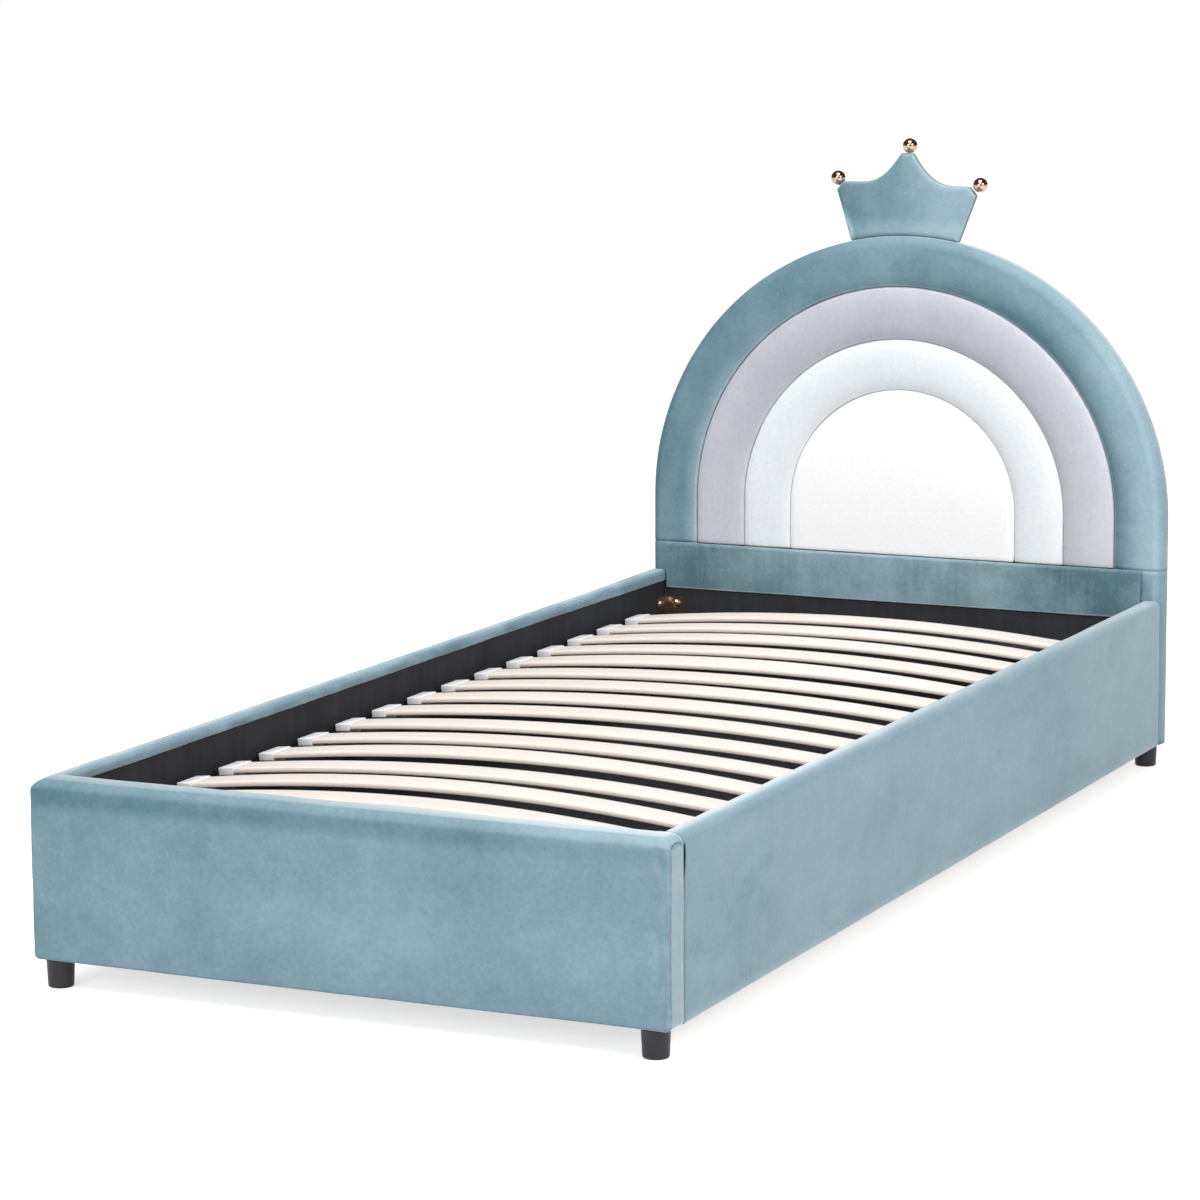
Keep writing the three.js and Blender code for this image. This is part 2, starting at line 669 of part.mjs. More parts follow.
// Two flat bars behind hold the crown to the headboard
const barFront = headBack + SEAT;
const barBack = barFront + CROWN_BAR_THICKNESS;
for (const { name, group } of sides) {
  const barShape = roundedRectangle(
    CROWN_BAR_X - CROWN_BAR_WIDTH / 2,
    archTop - CROWN_BAR_LENGTH / 2,
    CROWN_BAR_X + CROWN_BAR_WIDTH / 2,
    archTop + CROWN_BAR_LENGTH / 2,
    CROWN_BAR_WIDTH / 2 - 0.5,
  );
  const screws = [-44, -20, 20, 44].map((rise) => {
    const head = new THREE.CylinderGeometry(
      BAR_SCREW_RADIUS - 1.5,
      BAR_SCREW_RADIUS,
      BAR_SCREW_HEAD + 0.5,
      12,
    );
    return head.translate(CROWN_BAR_X, barBack + (BAR_SCREW_HEAD - 0.5) / 2, archTop + rise);
  });
  const bar = join([acrossY(barShape, barFront, barBack), ...screws]);
  add(`crown_bar_${name}`, bar, zincSteel, group);
}

// Corner angles: two leaves and four domed hex-socket bolts, at each corner of the box
function boltHead() {
  const profile = [
    [0, 0],
    [BOLT_HEAD_RADIUS, 0],
    [BOLT_HEAD_RADIUS - 0.5, BOLT_HEAD_HEIGHT * 0.4],
    [BOLT_HEAD_RADIUS - 2.6, BOLT_HEAD_HEIGHT * 0.8],
    [BOLT_SOCKET_RADIUS + 0.6, BOLT_HEAD_HEIGHT],
    [BOLT_SOCKET_RADIUS, BOLT_HEAD_HEIGHT],
    [BOLT_SOCKET_RADIUS, BOLT_HEAD_HEIGHT - 2.5],
    [0, BOLT_HEAD_HEIGHT - 2.5],
  ].map(([r, z]) => new THREE.Vector2(r, z));
  return new THREE.LatheGeometry(profile, 10);
}

function cornerAngle(endY, inward, endFace) {
  const sideFace = boardFace - SEAT;
  const bottom = angleTop - ANGLE_HEIGHT;
  const alongSide = (from, to) => [endY + inward * from, endY + inward * to].sort((p, q) => p - q);
  const [sideStart, sideEnd] = alongSide(0, ANGLE_LEAF);
  const sideShape = roundedRectangle(sideStart, bottom, sideEnd, angleTop, ANGLE_CORNER_RADIUS);
  const sideLeaf = acrossX(sideShape, sideFace - ANGLE_THICKNESS, sideFace, 2);
  const leafEdge = endFace - ANGLE_LEAF;
  const endShape = roundedRectangle(leafEdge, bottom, endFace, angleTop, ANGLE_CORNER_RADIUS);
  const endLeaf = acrossY(endShape, ...alongSide(0, ANGLE_THICKNESS), { curveSegments: 2 });
  const [bendStart, bendEnd] = alongSide(0, 6);
  const [hollowStart, hollowEnd] = alongSide(ANGLE_THICKNESS, 30);
  const bend = cut(
    block([endFace - ANGLE_THICKNESS - 6, bendStart, bottom], [sideFace, bendEnd, angleTop]),
    [block([0, hollowStart, bottom - 1], [sideFace - ANGLE_THICKNESS, hollowEnd, angleTop + 1])],
  );
  const bolts = [];
  for (const rise of [-BOLT_PITCH / 2, BOLT_PITCH / 2]) {
    const z = bottom + ANGLE_HEIGHT / 2 + rise;
    const sideBolt = boltHead().rotateZ(Math.PI / 2);
    const sideBoltY = endY + inward * BOLT_FROM_CORNER;
    bolts.push(sideBolt.translate(sideFace - ANGLE_THICKNESS + 0.3, sideBoltY, z));
    const endBolt = inward < 0 ? boltHead().rotateZ(Math.PI) : boltHead();
    const endBoltY = endY + inward * (ANGLE_THICKNESS - 0.3);
    bolts.push(endBolt.translate(endFace - BOLT_FROM_CORNER, endBoltY, z));
  }
  return join([sideLeaf, endLeaf, bend, ...bolts]);
}

for (const { name, group } of sides) {
  const footAngle = cornerAngle(footBack + SEAT, 1, innerHalf - 1);
  add(`corner_angle_foot_${name}`, footAngle, roseBrass, group);
  const headAngle = cornerAngle(crossFront + CROSS_COVER_THICKNESS, -1, innerHalf - 1);
  add(`corner_angle_head_${name}`, headAngle, roseBrass, group);
}

// Storage floor: two boards on ledges along the rails and a beam under their joint
const ledgeBottom = panelBottom + LEDGE_LIFT;
const ledgeTop = ledgeBottom + LEDGE_HEIGHT;
const floorStart = footBack + SEAT;
const floorEnd = crossFront + CROSS_COVER_THICKNESS;
const floorMiddle = (floorStart + floorEnd) / 2;
for (const { name, group } of sides) {
  const ledge = block(
    [boardFace - SEAT - LEDGE_WIDTH, floorStart, ledgeBottom],
    [boardFace - SEAT, floorEnd, ledgeTop],
  );
  add(`floor_ledge_${name}`, ledge, birch, group);
}
const beamHalf = boardFace - LEDGE_WIDTH - 2 * SEAT;
const beam = block(
  [-beamHalf, floorMiddle - FLOOR_BEAM_WIDTH / 2, ledgeBottom],
  [beamHalf, floorMiddle + FLOOR_BEAM_WIDTH / 2, ledgeTop],
);
add("floor_beam", beam, birch);
for (const [name, y0, y1] of [
  ["floor_board_foot", floorStart, floorMiddle - SEAT / 2],
  ["floor_board_head", floorMiddle + SEAT / 2, floorEnd],
]) {
  const half = boardFace - SEAT;
  add(name, block([-half, y0, ledgeTop + SEAT], [half, y1, floorTop]), blackLining);
}

// Slats: bent birch strips, bowed upwards
const slatHalf = tubeOuter - HOLDER_WALL - SEAT;
const slatRadius = (slatHalf ** 2 + SLAT_CAMBER ** 2) / (2 * SLAT_CAMBER);
const slatEndTurn = Math.asin(slatHalf / slatRadius);
const sleeveHalf = SLAT_THICKNESS / 2 + SEAT + HOLDER_WALL;
const slatEndZ = tubeTop + HOLDER_LIFT + sleeveHalf;
const holderTilt = slatEndTurn * (1 - 1 / SLAT_STEPS); // the way the slat's last stretch lies
const slatWidthHalf = SLAT_WIDTH / 2;
const slatFirst = footBack + SLAT_FROM_FOOT + slatWidthHalf;
const slatLast = crossFront - SLAT_FROM_HEAD - slatWidthHalf;
const slatPitch = (slatLast - slatFirst) / (SLAT_COUNT - 1);

function slatGeometry() {
  const half = SLAT_THICKNESS / 2;
  const section = [];
  for (const [side, start] of [
    [1, -Math.PI / 2],
    [-1, Math.PI / 2],
  ]) {
    for (let i = 0; i <= 3; i++) {
      const a = start + (Math.PI * i) / 3;
      const y = side * (slatWidthHalf - SLAT_EDGE) + SLAT_EDGE * Math.cos(a);
      section.push([y, half * Math.sin(a)]);
    }
  }
  const centreZ = slatEndZ - slatRadius * Math.cos(slatEndTurn);
  const rings = [];
  for (let i = 0; i <= SLAT_STEPS; i++) {
    const turn = slatEndTurn * ((2 * i) / SLAT_STEPS - 1);
    rings.push(
      section.map(([y, rise]) => [
        (slatRadius + rise) * Math.sin(turn),
        y,
        centreZ + (slatRadius + rise) * Math.cos(turn),
      ]),
    );
  }
  return loft(rings, section);
}

const slat = slatGeometry();
const slatPlaces = Array.from({ length: SLAT_COUNT }, (_, i) => slatFirst + i * slatPitch);
slatPlaces.forEach((y, i) => {
  add(`slat_${String(i + 1).padStart(2, "0")}`, slat, birch).position.y = y;
});

// Holders: sleeves tilted to the slat's end, on feet along each side tube
function slatHolder(y) {
  const width = slatWidthHalf + SEAT + HOLDER_WALL;
  const sleeve = block(
    [HOLDER_WALL - HOLDER_LENGTH, -width, -sleeveHalf],
    [HOLDER_WALL, width, sleeveHalf],
  );
  const pocket = block(
    [-HOLDER_LENGTH, -slatWidthHalf - SEAT, -SLAT_THICKNESS / 2 - SEAT],
    [SEAT, slatWidthHalf + SEAT, SLAT_THICKNESS / 2 + SEAT],
  );
  const tilt = (geometry) => geometry.rotateY(holderTilt).translate(slatHalf, y, slatEndZ);
  const footTop = slatEndZ - sleeveHalf / 2;
  const foot = block(
    [slatHalf - HOLDER_FOOT_LENGTH, y - HOLDER_FOOT_WIDTH / 2, tubeTop - TUBE_WALL / 2],
    [slatHalf, y + HOLDER_FOOT_WIDTH / 2, footTop],
  );
  return cut(join([tilt(sleeve), foot]), [tilt(pocket)]);
}

// Side tubes of the lifting frame, with the lug that the strut pushes on
const lugInner = tubeInner - LUG_THICKNESS;
const strutHeadY = pivotY - STRUT_HEAD_BEFORE_PIVOT;
const strutHeadZ = pivotZ - STRUT_HEAD_BELOW_PIVOT;
const eyeInner = strutX - EYE_THICKNESS / 2;
const eyeOuter = strutX + EYE_THICKNESS / 2;

function boxTube([x0, y0, z0], [x1, y1, z1], along) {
  const wall = TUBE_WALL;
  const [wx, wy] = along === "x" ? [-1, wall] : [wall, -1];
  const hollow = block([x0 + wx, y0 + wy, z0 + wall], [x1 - wx, y1 - wy, z1 - wall]);
  return cut(block([x0, y0, z0], [x1, y1, z1]), [hollow]);
}

function lugWithPin() {
  const shape = new THREE.Shape();
  shape.moveTo(strutHeadY - LUG_WIDTH / 2, tubeTop - 12);
  shape.lineTo(strutHeadY - LUG_WIDTH / 2, TUBE_BOTTOM);
  shape.lineTo(strutHeadY - LUG_DROP, strutHeadZ - 4);
  shape.absarc(strutHeadY, strutHeadZ, LUG_DROP, Math.PI + 0.31, -0.31);
  shape.lineTo(strutHeadY + LUG_WIDTH / 2, TUBE_BOTTOM);
  shape.lineTo(strutHeadY + LUG_WIDTH / 2, tubeTop - 12);
  const at = [strutHeadY, strutHeadZ];
  const headStart = eyeOuter + SEAT;
  const headEnd = headStart + STRUT_PIN_HEAD;
  return [
    acrossX(shape, lugInner, tubeInner + 0.2),
    crossPin(STRUT_SHOULDER_RADIUS, lugInner + 1, eyeInner - SEAT, ...at),
    crossPin(STRUT_PIN_RADIUS, lugInner + 1, headEnd, ...at),
    crossPin(STRUT_SHOULDER_RADIUS + 2, headStart, headEnd, ...at),
  ];
}

for (const { name, group } of sides) {
  const tube = boxTube([tubeInner, frameFoot, TUBE_BOTTOM], [tubeOuter, frameHead, tubeTop], "y");
  const whole = join([tube, ...slatPlaces.map(slatHolder), ...lugWithPin()]);
  const pivotHole = crossPin(PIVOT_RADIUS + RUN, tubeInner - 1, tubeOuter + 1, pivotY, pivotZ);
  add(`frame_side_${name}`, cut(whole, [pivotHole]), blackSteel, group);
}
for (const [name, y] of [
  ["frame_foot_tube", frameFoot],
  ["frame_head_tube", frameHead - TUBE_WIDTH],
]) {
  const half = tubeInner - SEAT;
  const tube = boxTube([-half, y, TUBE_BOTTOM], [half, y + TUBE_WIDTH, tubeTop], "x");
  add(name, tube, blackSteel);
}

// Lift plates: screwed to the side boards, each with the frame's pivot pin and the strut's foot pin
const strutFootY = pivotY + STRUT_FOOT_PAST_PIVOT;
const strutFootZ = pivotZ - STRUT_FOOT_BELOW_PIVOT;

function liftPlateShape() {
  const shape = new THREE.Shape();
  const reach = PLATE_MARGIN;
  shape.moveTo(pivotY - reach, pivotZ);
  shape.lineTo(pivotY - reach - 12, strutFootZ + 8);
  shape.lineTo(pivotY - reach - 12, strutFootZ - reach + 6);
  shape.lineTo(pivotY - reach - 6, strutFootZ - reach);
  shape.lineTo(strutFootY, strutFootZ - reach);
  shape.absarc(strutFootY, strutFootZ, reach, -Math.PI / 2, 0.1);
  shape.absarc(pivotY, pivotZ, reach, 0.1, Math.PI);
  return shape;
}

function liftPlate() {
  const headFace = tubeInner - SEAT;
  const pivot = [pivotY, pivotZ];
  const foot = [strutFootY, strutFootZ];
  const root = plateFace + 1;
  const footHead = eyeInner - SEAT;
  return join([
    acrossX(liftPlateShape(), plateFace, plateFace + PLATE_THICKNESS, 5),
    crossPin(COLLAR_RADIUS, tubeOuter + SEAT, root, ...pivot),
    crossPin(PIVOT_RADIUS, headFace - PIVOT_HEAD_HEIGHT, root, ...pivot),
    crossPin(PIVOT_HEAD_RADIUS, headFace - PIVOT_HEAD_HEIGHT, headFace, ...pivot),
    crossPin(STRUT_SHOULDER_RADIUS, eyeOuter + SEAT, root, ...foot),
    crossPin(STRUT_PIN_RADIUS, footHead - STRUT_PIN_HEAD, root, ...foot),
    crossPin(STRUT_SHOULDER_RADIUS, footHead - STRUT_PIN_HEAD, footHead, ...foot),
  ]);
}

for (const { name, group } of sides) {
  add(`lift_plate_${name}`, liftPlate(), zincSteel, group);
}

// Rests: angles on the side boards that carry the frame's foot end
for (const { name, group } of sides) {
  const y0 = frameFoot + REST_FROM_FRAME_END;
  const outer = boardFace - SEAT;
  const top = TUBE_BOTTOM - SEAT;
  const shape = new THREE.Shape();
  shape.moveTo(outer, top);
  shape.lineTo(tubeInner + 3, top);
  shape.lineTo(tubeInner + 3, top - REST_THICKNESS);
  shape.lineTo(outer - REST_THICKNESS - 3, top - REST_THICKNESS);
  shape.absarc(outer - REST_THICKNESS - 3, top - REST_THICKNESS - 3, 3, Math.PI / 2, 0, true);
  shape.lineTo(outer - REST_THICKNESS, top - REST_LEAF);
  shape.lineTo(outer, top - REST_LEAF);
  add(`frame_rest_${name}`, acrossY(shape, y0, y0 + REST_LENGTH), zincSteel, group);
}

// Where the strut's head pin lies, seen from its foot pin, with the frame raised by an angle
function strutAt(raised) {
  const [c, s] = [Math.cos(raised), Math.sin(raised)];
  const y = -STRUT_HEAD_BEFORE_PIVOT * c - STRUT_HEAD_BELOW_PIVOT * s - STRUT_FOOT_PAST_PIVOT;
  const z = STRUT_HEAD_BEFORE_PIVOT * s - STRUT_HEAD_BELOW_PIVOT * c + STRUT_FOOT_BELOW_PIVOT;
  return { length: Math.hypot(y, z), angle: Math.atan2(z, y) };
}

// The strut turns and extends evenly as the frame rises, so its head eye is slotted for the
// small stray of the pin between the two ends of the travel
function pinStray() {
  const [closed, open] = [strutAt(0), strutAt(LIFT_ANGLE)];
  const stray = { along: [0, 0], across: [0, 0] };
  for (let i = 0; i <= 40; i++) {
    const share = i / 40;
    const now = strutAt(LIFT_ANGLE * share);
    const angle = closed.angle + (open.angle - closed.angle) * share;
    const length = closed.length + (open.length - closed.length) * share;
    const along = now.length * Math.cos(now.angle - angle) - length;
    const across = now.length * Math.sin(now.angle - angle);
    stray.along = [Math.min(stray.along[0], along), Math.max(stray.along[1], along)];
    stray.across = [Math.min(stray.across[0], across), Math.max(stray.across[1], across)];
  }
  return stray;
}

// A flat eye with round ends, drawn along the strut (local Y), with room for the pin's stray
function strutEye(at, stray) {
  const hole = STRUT_PIN_RADIUS + RUN;
  const [y0, y1] = [at + stray.along[0] - hole, at + stray.along[1] + hole];
  const [z0, z1] = [stray.across[0] - hole, stray.across[1] + hole];
  const wall = EYE_WALL;
  const radius = hole - 0.01;
  const shape = roundedRectangle(y0 - wall, z0 - wall, y1 + wall, z1 + wall, radius + wall);
  shape.holes.push(roundedRectangle(y0, z0, y1, z1, radius, new THREE.Path()));
  return acrossX(shape, -EYE_THICKNESS / 2, EYE_THICKNESS / 2, 3);
}

const closedStrut = strutAt(0);
const still = { along: [0, 0], across: [0, 0] };
const cylinderStart = STRUT_PIN_RADIUS + RUN + EYE_WALL + CYLINDER_NECK;
const cylinderEnd = cylinderStart + CYLINDER_LENGTH;
const neckRadius = EYE_THICKNESS / 2 - 0.2;

function strutCylinder() {
  const neck = new THREE.CylinderGeometry(neckRadius, neckRadius, CYLINDER_NECK + 4, 12);
  neck.translate(0, cylinderStart - CYLINDER_NECK / 2, 0);
  const profile = [
    [0, cylinderStart],
    [CYLINDER_RADIUS - 2, cylinderStart],
    [CYLINDER_RADIUS, cylinderStart + 3],
    [CYLINDER_RADIUS, cylinderEnd - 3],
    [CYLINDER_RADIUS - 2.5, cylinderEnd],
    [ROD_RADIUS + RUN, cylinderEnd],
    [ROD_RADIUS + RUN, cylinderEnd - CYLINDER_BORE_DEPTH],
    [0, cylinderEnd - CYLINDER_BORE_DEPTH],
  ].map(([r, y]) => new THREE.Vector2(r, y));
  return join([strutEye(0, still), neck, new THREE.LatheGeometry(profile, 16)]);
}

function strutRod() {
  const stray = pinStray();
  const eyeStart = closedStrut.length + stray.along[0] - STRUT_PIN_RADIUS - RUN - EYE_WALL;
  const ferruleEnd = closedStrut.length + stray.along[0] - STRUT_SHOULDER_RADIUS - 3;
  const ferruleStart = ferruleEnd - FERRULE_LENGTH;
  const rod = new THREE.CylinderGeometry(ROD_RADIUS, ROD_RADIUS, ROD_LENGTH, 16);
  rod.translate(0, ferruleStart + 2 - ROD_LENGTH / 2, 0);
  const ferrule = new THREE.CylinderGeometry(FERRULE_RADIUS, FERRULE_RADIUS, FERRULE_LENGTH, 16);
  ferrule.translate(0, (ferruleStart + ferruleEnd) / 2, 0);
  const tongue = block(
    [-neckRadius, ferruleEnd - 1, -FERRULE_RADIUS],
    [neckRadius, eyeStart + 2, FERRULE_RADIUS],
  );
  return join([strutEye(closedStrut.length, stray), rod, ferrule, tongue]);
}

for (const { name, group } of sides) {
  const strut = new THREE.Group();
  strut.position.set(strutX, strutFootY, strutFootZ);
  strut.rotation.x = closedStrut.angle;
  group.add(strut);
  add(`strut_cylinder_${name}`, strutCylinder(), blackSteel, strut);
  add(`strut_rod_${name}`, strutRod(), chromeRod, strut);
}

export default bed;
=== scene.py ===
from math import acos, asin, atan2, copysign, cos, degrees, exp, hypot, pi, radians, sin, sqrt, tan

import bmesh
import bpy
from mathutils import Matrix, Vector, geometry, noise


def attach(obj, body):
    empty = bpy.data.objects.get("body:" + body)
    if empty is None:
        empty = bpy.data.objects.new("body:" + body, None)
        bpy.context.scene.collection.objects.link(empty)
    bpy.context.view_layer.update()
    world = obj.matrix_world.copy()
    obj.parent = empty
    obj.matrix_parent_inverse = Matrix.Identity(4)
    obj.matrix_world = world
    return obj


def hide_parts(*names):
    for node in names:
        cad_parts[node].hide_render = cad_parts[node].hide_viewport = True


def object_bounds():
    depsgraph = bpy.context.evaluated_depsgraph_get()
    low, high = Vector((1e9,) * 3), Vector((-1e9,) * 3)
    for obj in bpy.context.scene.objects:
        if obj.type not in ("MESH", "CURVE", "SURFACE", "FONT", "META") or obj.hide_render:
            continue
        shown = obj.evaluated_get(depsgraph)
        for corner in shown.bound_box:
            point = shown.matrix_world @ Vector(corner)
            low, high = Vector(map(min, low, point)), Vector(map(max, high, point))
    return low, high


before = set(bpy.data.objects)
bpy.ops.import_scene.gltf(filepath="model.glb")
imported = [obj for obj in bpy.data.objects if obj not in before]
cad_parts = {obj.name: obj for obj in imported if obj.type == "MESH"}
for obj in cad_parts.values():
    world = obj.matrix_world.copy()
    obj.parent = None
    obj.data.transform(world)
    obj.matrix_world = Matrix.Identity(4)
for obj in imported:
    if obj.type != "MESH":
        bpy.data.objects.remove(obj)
cad_low, cad_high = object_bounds()
scene = bpy.context.scene


def placed(name, data):
    thing = bpy.data.objects.new(name, data)
    scene.collection.objects.link(thing)
    return thing


# Camera: the photograph's own viewpoint, off the right-hand corner of the foot.
# The picture is square, 1200 pixels a side, with no shift and no depth of field.
CAMERA_PLACE = Vector((2.58884, -5.76794, 1.438))
AZIMUTH, PITCH, ROLL = radians(25.0947), radians(9.1755), radians(-0.2901)
camera_data = bpy.data.cameras.new("photo_camera")
camera_data.lens = 123.83
camera_data.sensor_width = 36
camera_data.clip_end = 40
camera = placed("photo_camera", camera_data)
back = Vector((sin(AZIMUTH) * cos(PITCH), -cos(AZIMUTH) * cos(PITCH), sin(PITCH)))
level_right = Vector((cos(AZIMUTH), sin(AZIMUTH), 0))
level_up = back.cross(level_right)
right = level_right * cos(ROLL) + level_up * sin(ROLL)
up = level_up * cos(ROLL) - level_right * sin(ROLL)
turn = Matrix((right, up, back)).transposed().to_4x4()
camera.matrix_world = Matrix.Translation(CAMERA_PLACE) @ turn
scene.camera = camera


# Nodes: a value that is a socket is linked, and any other is set.
def feed(tree, value, socket):
    if isinstance(value, bpy.types.NodeSocket):
        tree.links.new(value, socket)
    else:
        socket.default_value = value


def add_node(tree, kind, values, **settings):
    node = tree.nodes.new("ShaderNode" + kind)
    for name, value in settings.items():
        setattr(node, name, value)
    for socket, value in values.items():
        feed(tree, value, node.inputs[socket])
    return node.outputs


def math_node(tree, operation, first, second, clamp=False):
    return add_node(tree, "Math", {0: first, 1: second}, operation=operation, use_clamp=clamp)[0]


def mix(tree, share, first, second):
    return add_node(tree, "Mix", {0: share, 6: first, 7: second}, data_type="RGBA")[2]


def span(tree, value, low, high, to_low, to_high, smooth=False):
    ends = {"From Min": low, "From Max": high, "To Min": to_low, "To Max": to_high}
    kind = "SMOOTHSTEP" if smooth else "LINEAR"
    return add_node(tree, "MapRange", {"Value": value} | ends, interpolation_type=kind)[0]


def object_place(tree):
    return add_node(tree, "TexCoord", {})["Object"]


def scaled(tree, place, scale):
    return add_node(tree, "Mapping", {"Vector": place, "Scale": scale})[0]


def noise_of(tree, scale, detail, roughness, place):
    values = {"Vector": place, "Scale": scale, "Detail": detail, "Roughness": roughness}
    return add_node(tree, "TexNoise", values)["Fac"]


def point_value(tree, name):
    return add_node(tree, "Attribute", {}, attribute_name=name)["Fac"]


def linear(red, green, blue):
    return tuple(
        c / 12.92 if c <= 0.04045 else ((c + 0.055) / 1.055) ** 2.4
        for c in (red / 255, green / 255, blue / 255)
    ) + (1.0,)


def new_material(name):
    material = bpy.data.materials.new(name)
    material.use_nodes = True
    return material, material.node_tree


def surface(tree, values, height=None, strength=1.0, distance=0.001):
    """Feeds the material's own shader, and bumps it where a height is given."""
    if height is not None:
        relief = {"Height": height, "Strength": strength, "Distance": distance}
        values = values | {"Normal": add_node(tree, "Bump", relief)[0]}
    for socket, value in values.items():
        feed(tree, value, tree.nodes["Principled BSDF"].inputs[socket])


# Studio: white floor and surroundings, soft lamps in front, at the right and overhead.
# The camera, gloss and glass see plain white; what lights the bed is kept lower than that.
WHITE = (1, 1, 1, 1)
SKY_LIGHT = 0.53
FLOOR_GLOW = 0.66
FLOOR_GREY = (0.86, 0.86, 0.86, 1)


def white_rays(tree):
    path = add_node(tree, "LightPath", {})
    seen = math_node(tree, "MAXIMUM", path["Is Camera Ray"], path["Is Glossy Ray"])
    return math_node(tree, "MAXIMUM", seen, path["Is Transmission Ray"])


scene.view_settings.view_transform = "Standard"
world = bpy.data.worlds.new("studio")
world.use_nodes = True
scene.world = world
world_tree = world.node_tree
world_tree.nodes.clear()
lit, seen = (
    add_node(world_tree, "Background", {"Color": WHITE, "Strength": strength})[0]
    for strength in (SKY_LIGHT, 1.0)
)
sky = add_node(world_tree, "MixShader", {0: white_rays(world_tree), 1: lit, 2: seen})[0]
add_node(world_tree, "OutputWorld", {0: sky})

for name, place, target, size, watts, spread_angle in (
    ("lamp_right", (5.6, -2.6, 3.6), (0.1, 0.2, 0.4), (2.4, 2.0), 138, 180),
    ("lamp_front", (-1.2, -8.0, 2.8), (0, 0, 0.45), (2.6, 2.0), 168, 180),
    ("lamp_top", (0.3, -0.6, 4.4), (0, 0.4, 0.1), (2.6, 3.0), 84, 180),
    ("lamp_headboard", (0.9, -2.6, 3.0), (0, 0.9, 0.36), (1.4, 1.0), 2.0, 60),
):
    light = bpy.data.lights.new(name, "AREA")
    light.shape = "RECTANGLE"
    light.size, light.size_y = size
    light.energy = watts
    light.spread = radians(spread_angle)
    lamp = placed(name, light)
    lamp.location = place
    lamp.rotation_euler = (Vector(target) - Vector(place)).to_track_quat("-Z", "Y").to_euler()

floor_mesh = bpy.data.meshes.new("floor")
floor_mesh.from_pydata(
    [(-60, -60, 0), (60, -60, 0), (60, 60, 0), (-60, 60, 0)], [], [(0, 1, 2, 3)]
)
floor = placed("floor", floor_mesh)
floor_paint, floor_tree = new_material("studio_floor")
floor_tree.nodes.clear()
floor_matt = add_node(floor_tree, "BsdfDiffuse", {"Color": FLOOR_GREY})[0]
dark, glow = (
    add_node(floor_tree, "Emission", {"Color": WHITE, "Strength": strength})[0]
    for strength in (0.0, FLOOR_GLOW)
)
floor_seen = add_node(floor_tree, "MixShader", {0: white_rays(floor_tree), 1: dark, 2: glow})[0]
floor_both = add_node(floor_tree, "AddShader", {0: floor_seen, 1: floor_matt})[0]
add_node(floor_tree, "OutputMaterial", {0: floor_both})
floor.data.materials.append(floor_paint)


# Velvet: a short pile over foam, in four colours. It looks light or dark by the lay of its pile
# and by painted light and shade, is mottled where hands have stroked it, darker in painted
# shade at creases, and pale where it is seen along the surface, a painted sheen.
def velvet_pile():
    group = bpy.data.node_groups.new("velvet_pile", "ShaderNodeTree")
    for way, kind, names in (
        ("INPUT", "NodeSocketColor", ("Dark colour", "Light colour", "Pale colour")),
        ("INPUT", "NodeSocketFloat", ("Pile_and_light", "Stretch", "Crease_shade", "Mottle", "Streaks")),
        ("OUTPUT", "NodeSocketColor", ("Colour",)),
        ("OUTPUT", "NodeSocketFloat", ("Roughness", "Height")),
    ):
        for name in names:
            group.interface.new_socket(name, in_out=way, socket_type=kind)
    given = group.nodes.new("NodeGroupInput").outputs
    result = group.nodes.new("NodeGroupOutput").inputs

    def part(value, low, high):
        return span(group, value, 0.3, 0.7, low, high)

    def total(first, second, clamp=False):
        return math_node(group, "ADD", first, second, clamp)

    def times(first, second, clamp=False):
        return math_node(group, "MULTIPLY", first, second, clamp)

    place = object_place(group)
    along = scaled(group, place, (1, 0.42, 1))
    wide = noise_of(group, 7.0, 3.0, 0.6, along)
    hand = noise_of(group, 34.0, 4.0, 0.62, along)
    weave = noise_of(group, 150.0, 3.0, 0.65, place)
    fibre = noise_of(group, 850.0, 2.0, 0.6, place)
    upright = noise_of(group, 1.0, 3.0, 0.6, scaled(group, place, (95, 95, 9)))
    level = noise_of(group, 1.0, 2.0, 0.6, scaled(group, place, (30, 30, 190)))
    cloud = total(total(part(wide, -0.6, 0.6), part(hand, -0.3, 0.3)), part(weave, -0.22, 0.22))
    stripe = times(total(part(upright, -1, 1), part(level, -0.35, 0.35)), given["Streaks"])
    pile_and_light = total(total(given["Pile_and_light"], times(cloud, given["Mottle"])), stripe, True)
    colour = mix(group, pile_and_light, given["Dark colour"], given["Light colour"])
    grain = times(part(fibre, 0.955, 1.045), part(weave, 0.97, 1.03))
    # Painted shade: the colour darkens in creases, seams and gaps by the shade value each point
    # carries.
    grain = times(grain, math_node(group, "POWER", 0.42, given["Crease_shade"]))
    toned = add_node(group, "VectorMath", {0: colour, "Scale": grain}, operation="SCALE")[0]
    stretch = times(given["Stretch"], span(group, hand, 0.25, 0.75, 0.75, 1.15), True)
    feed(group, mix(group, stretch, toned, given["Pale colour"]), result["Colour"])
    feed(group, part(hand, 0.92, 0.8), result["Roughness"])
    height = total(span(group, fibre, 0, 1, 0, 0.4), span(group, weave, 0, 1, 0, 0.6))
    feed(group, height, result["Height"])
    return group


velvet_group = velvet_pile()


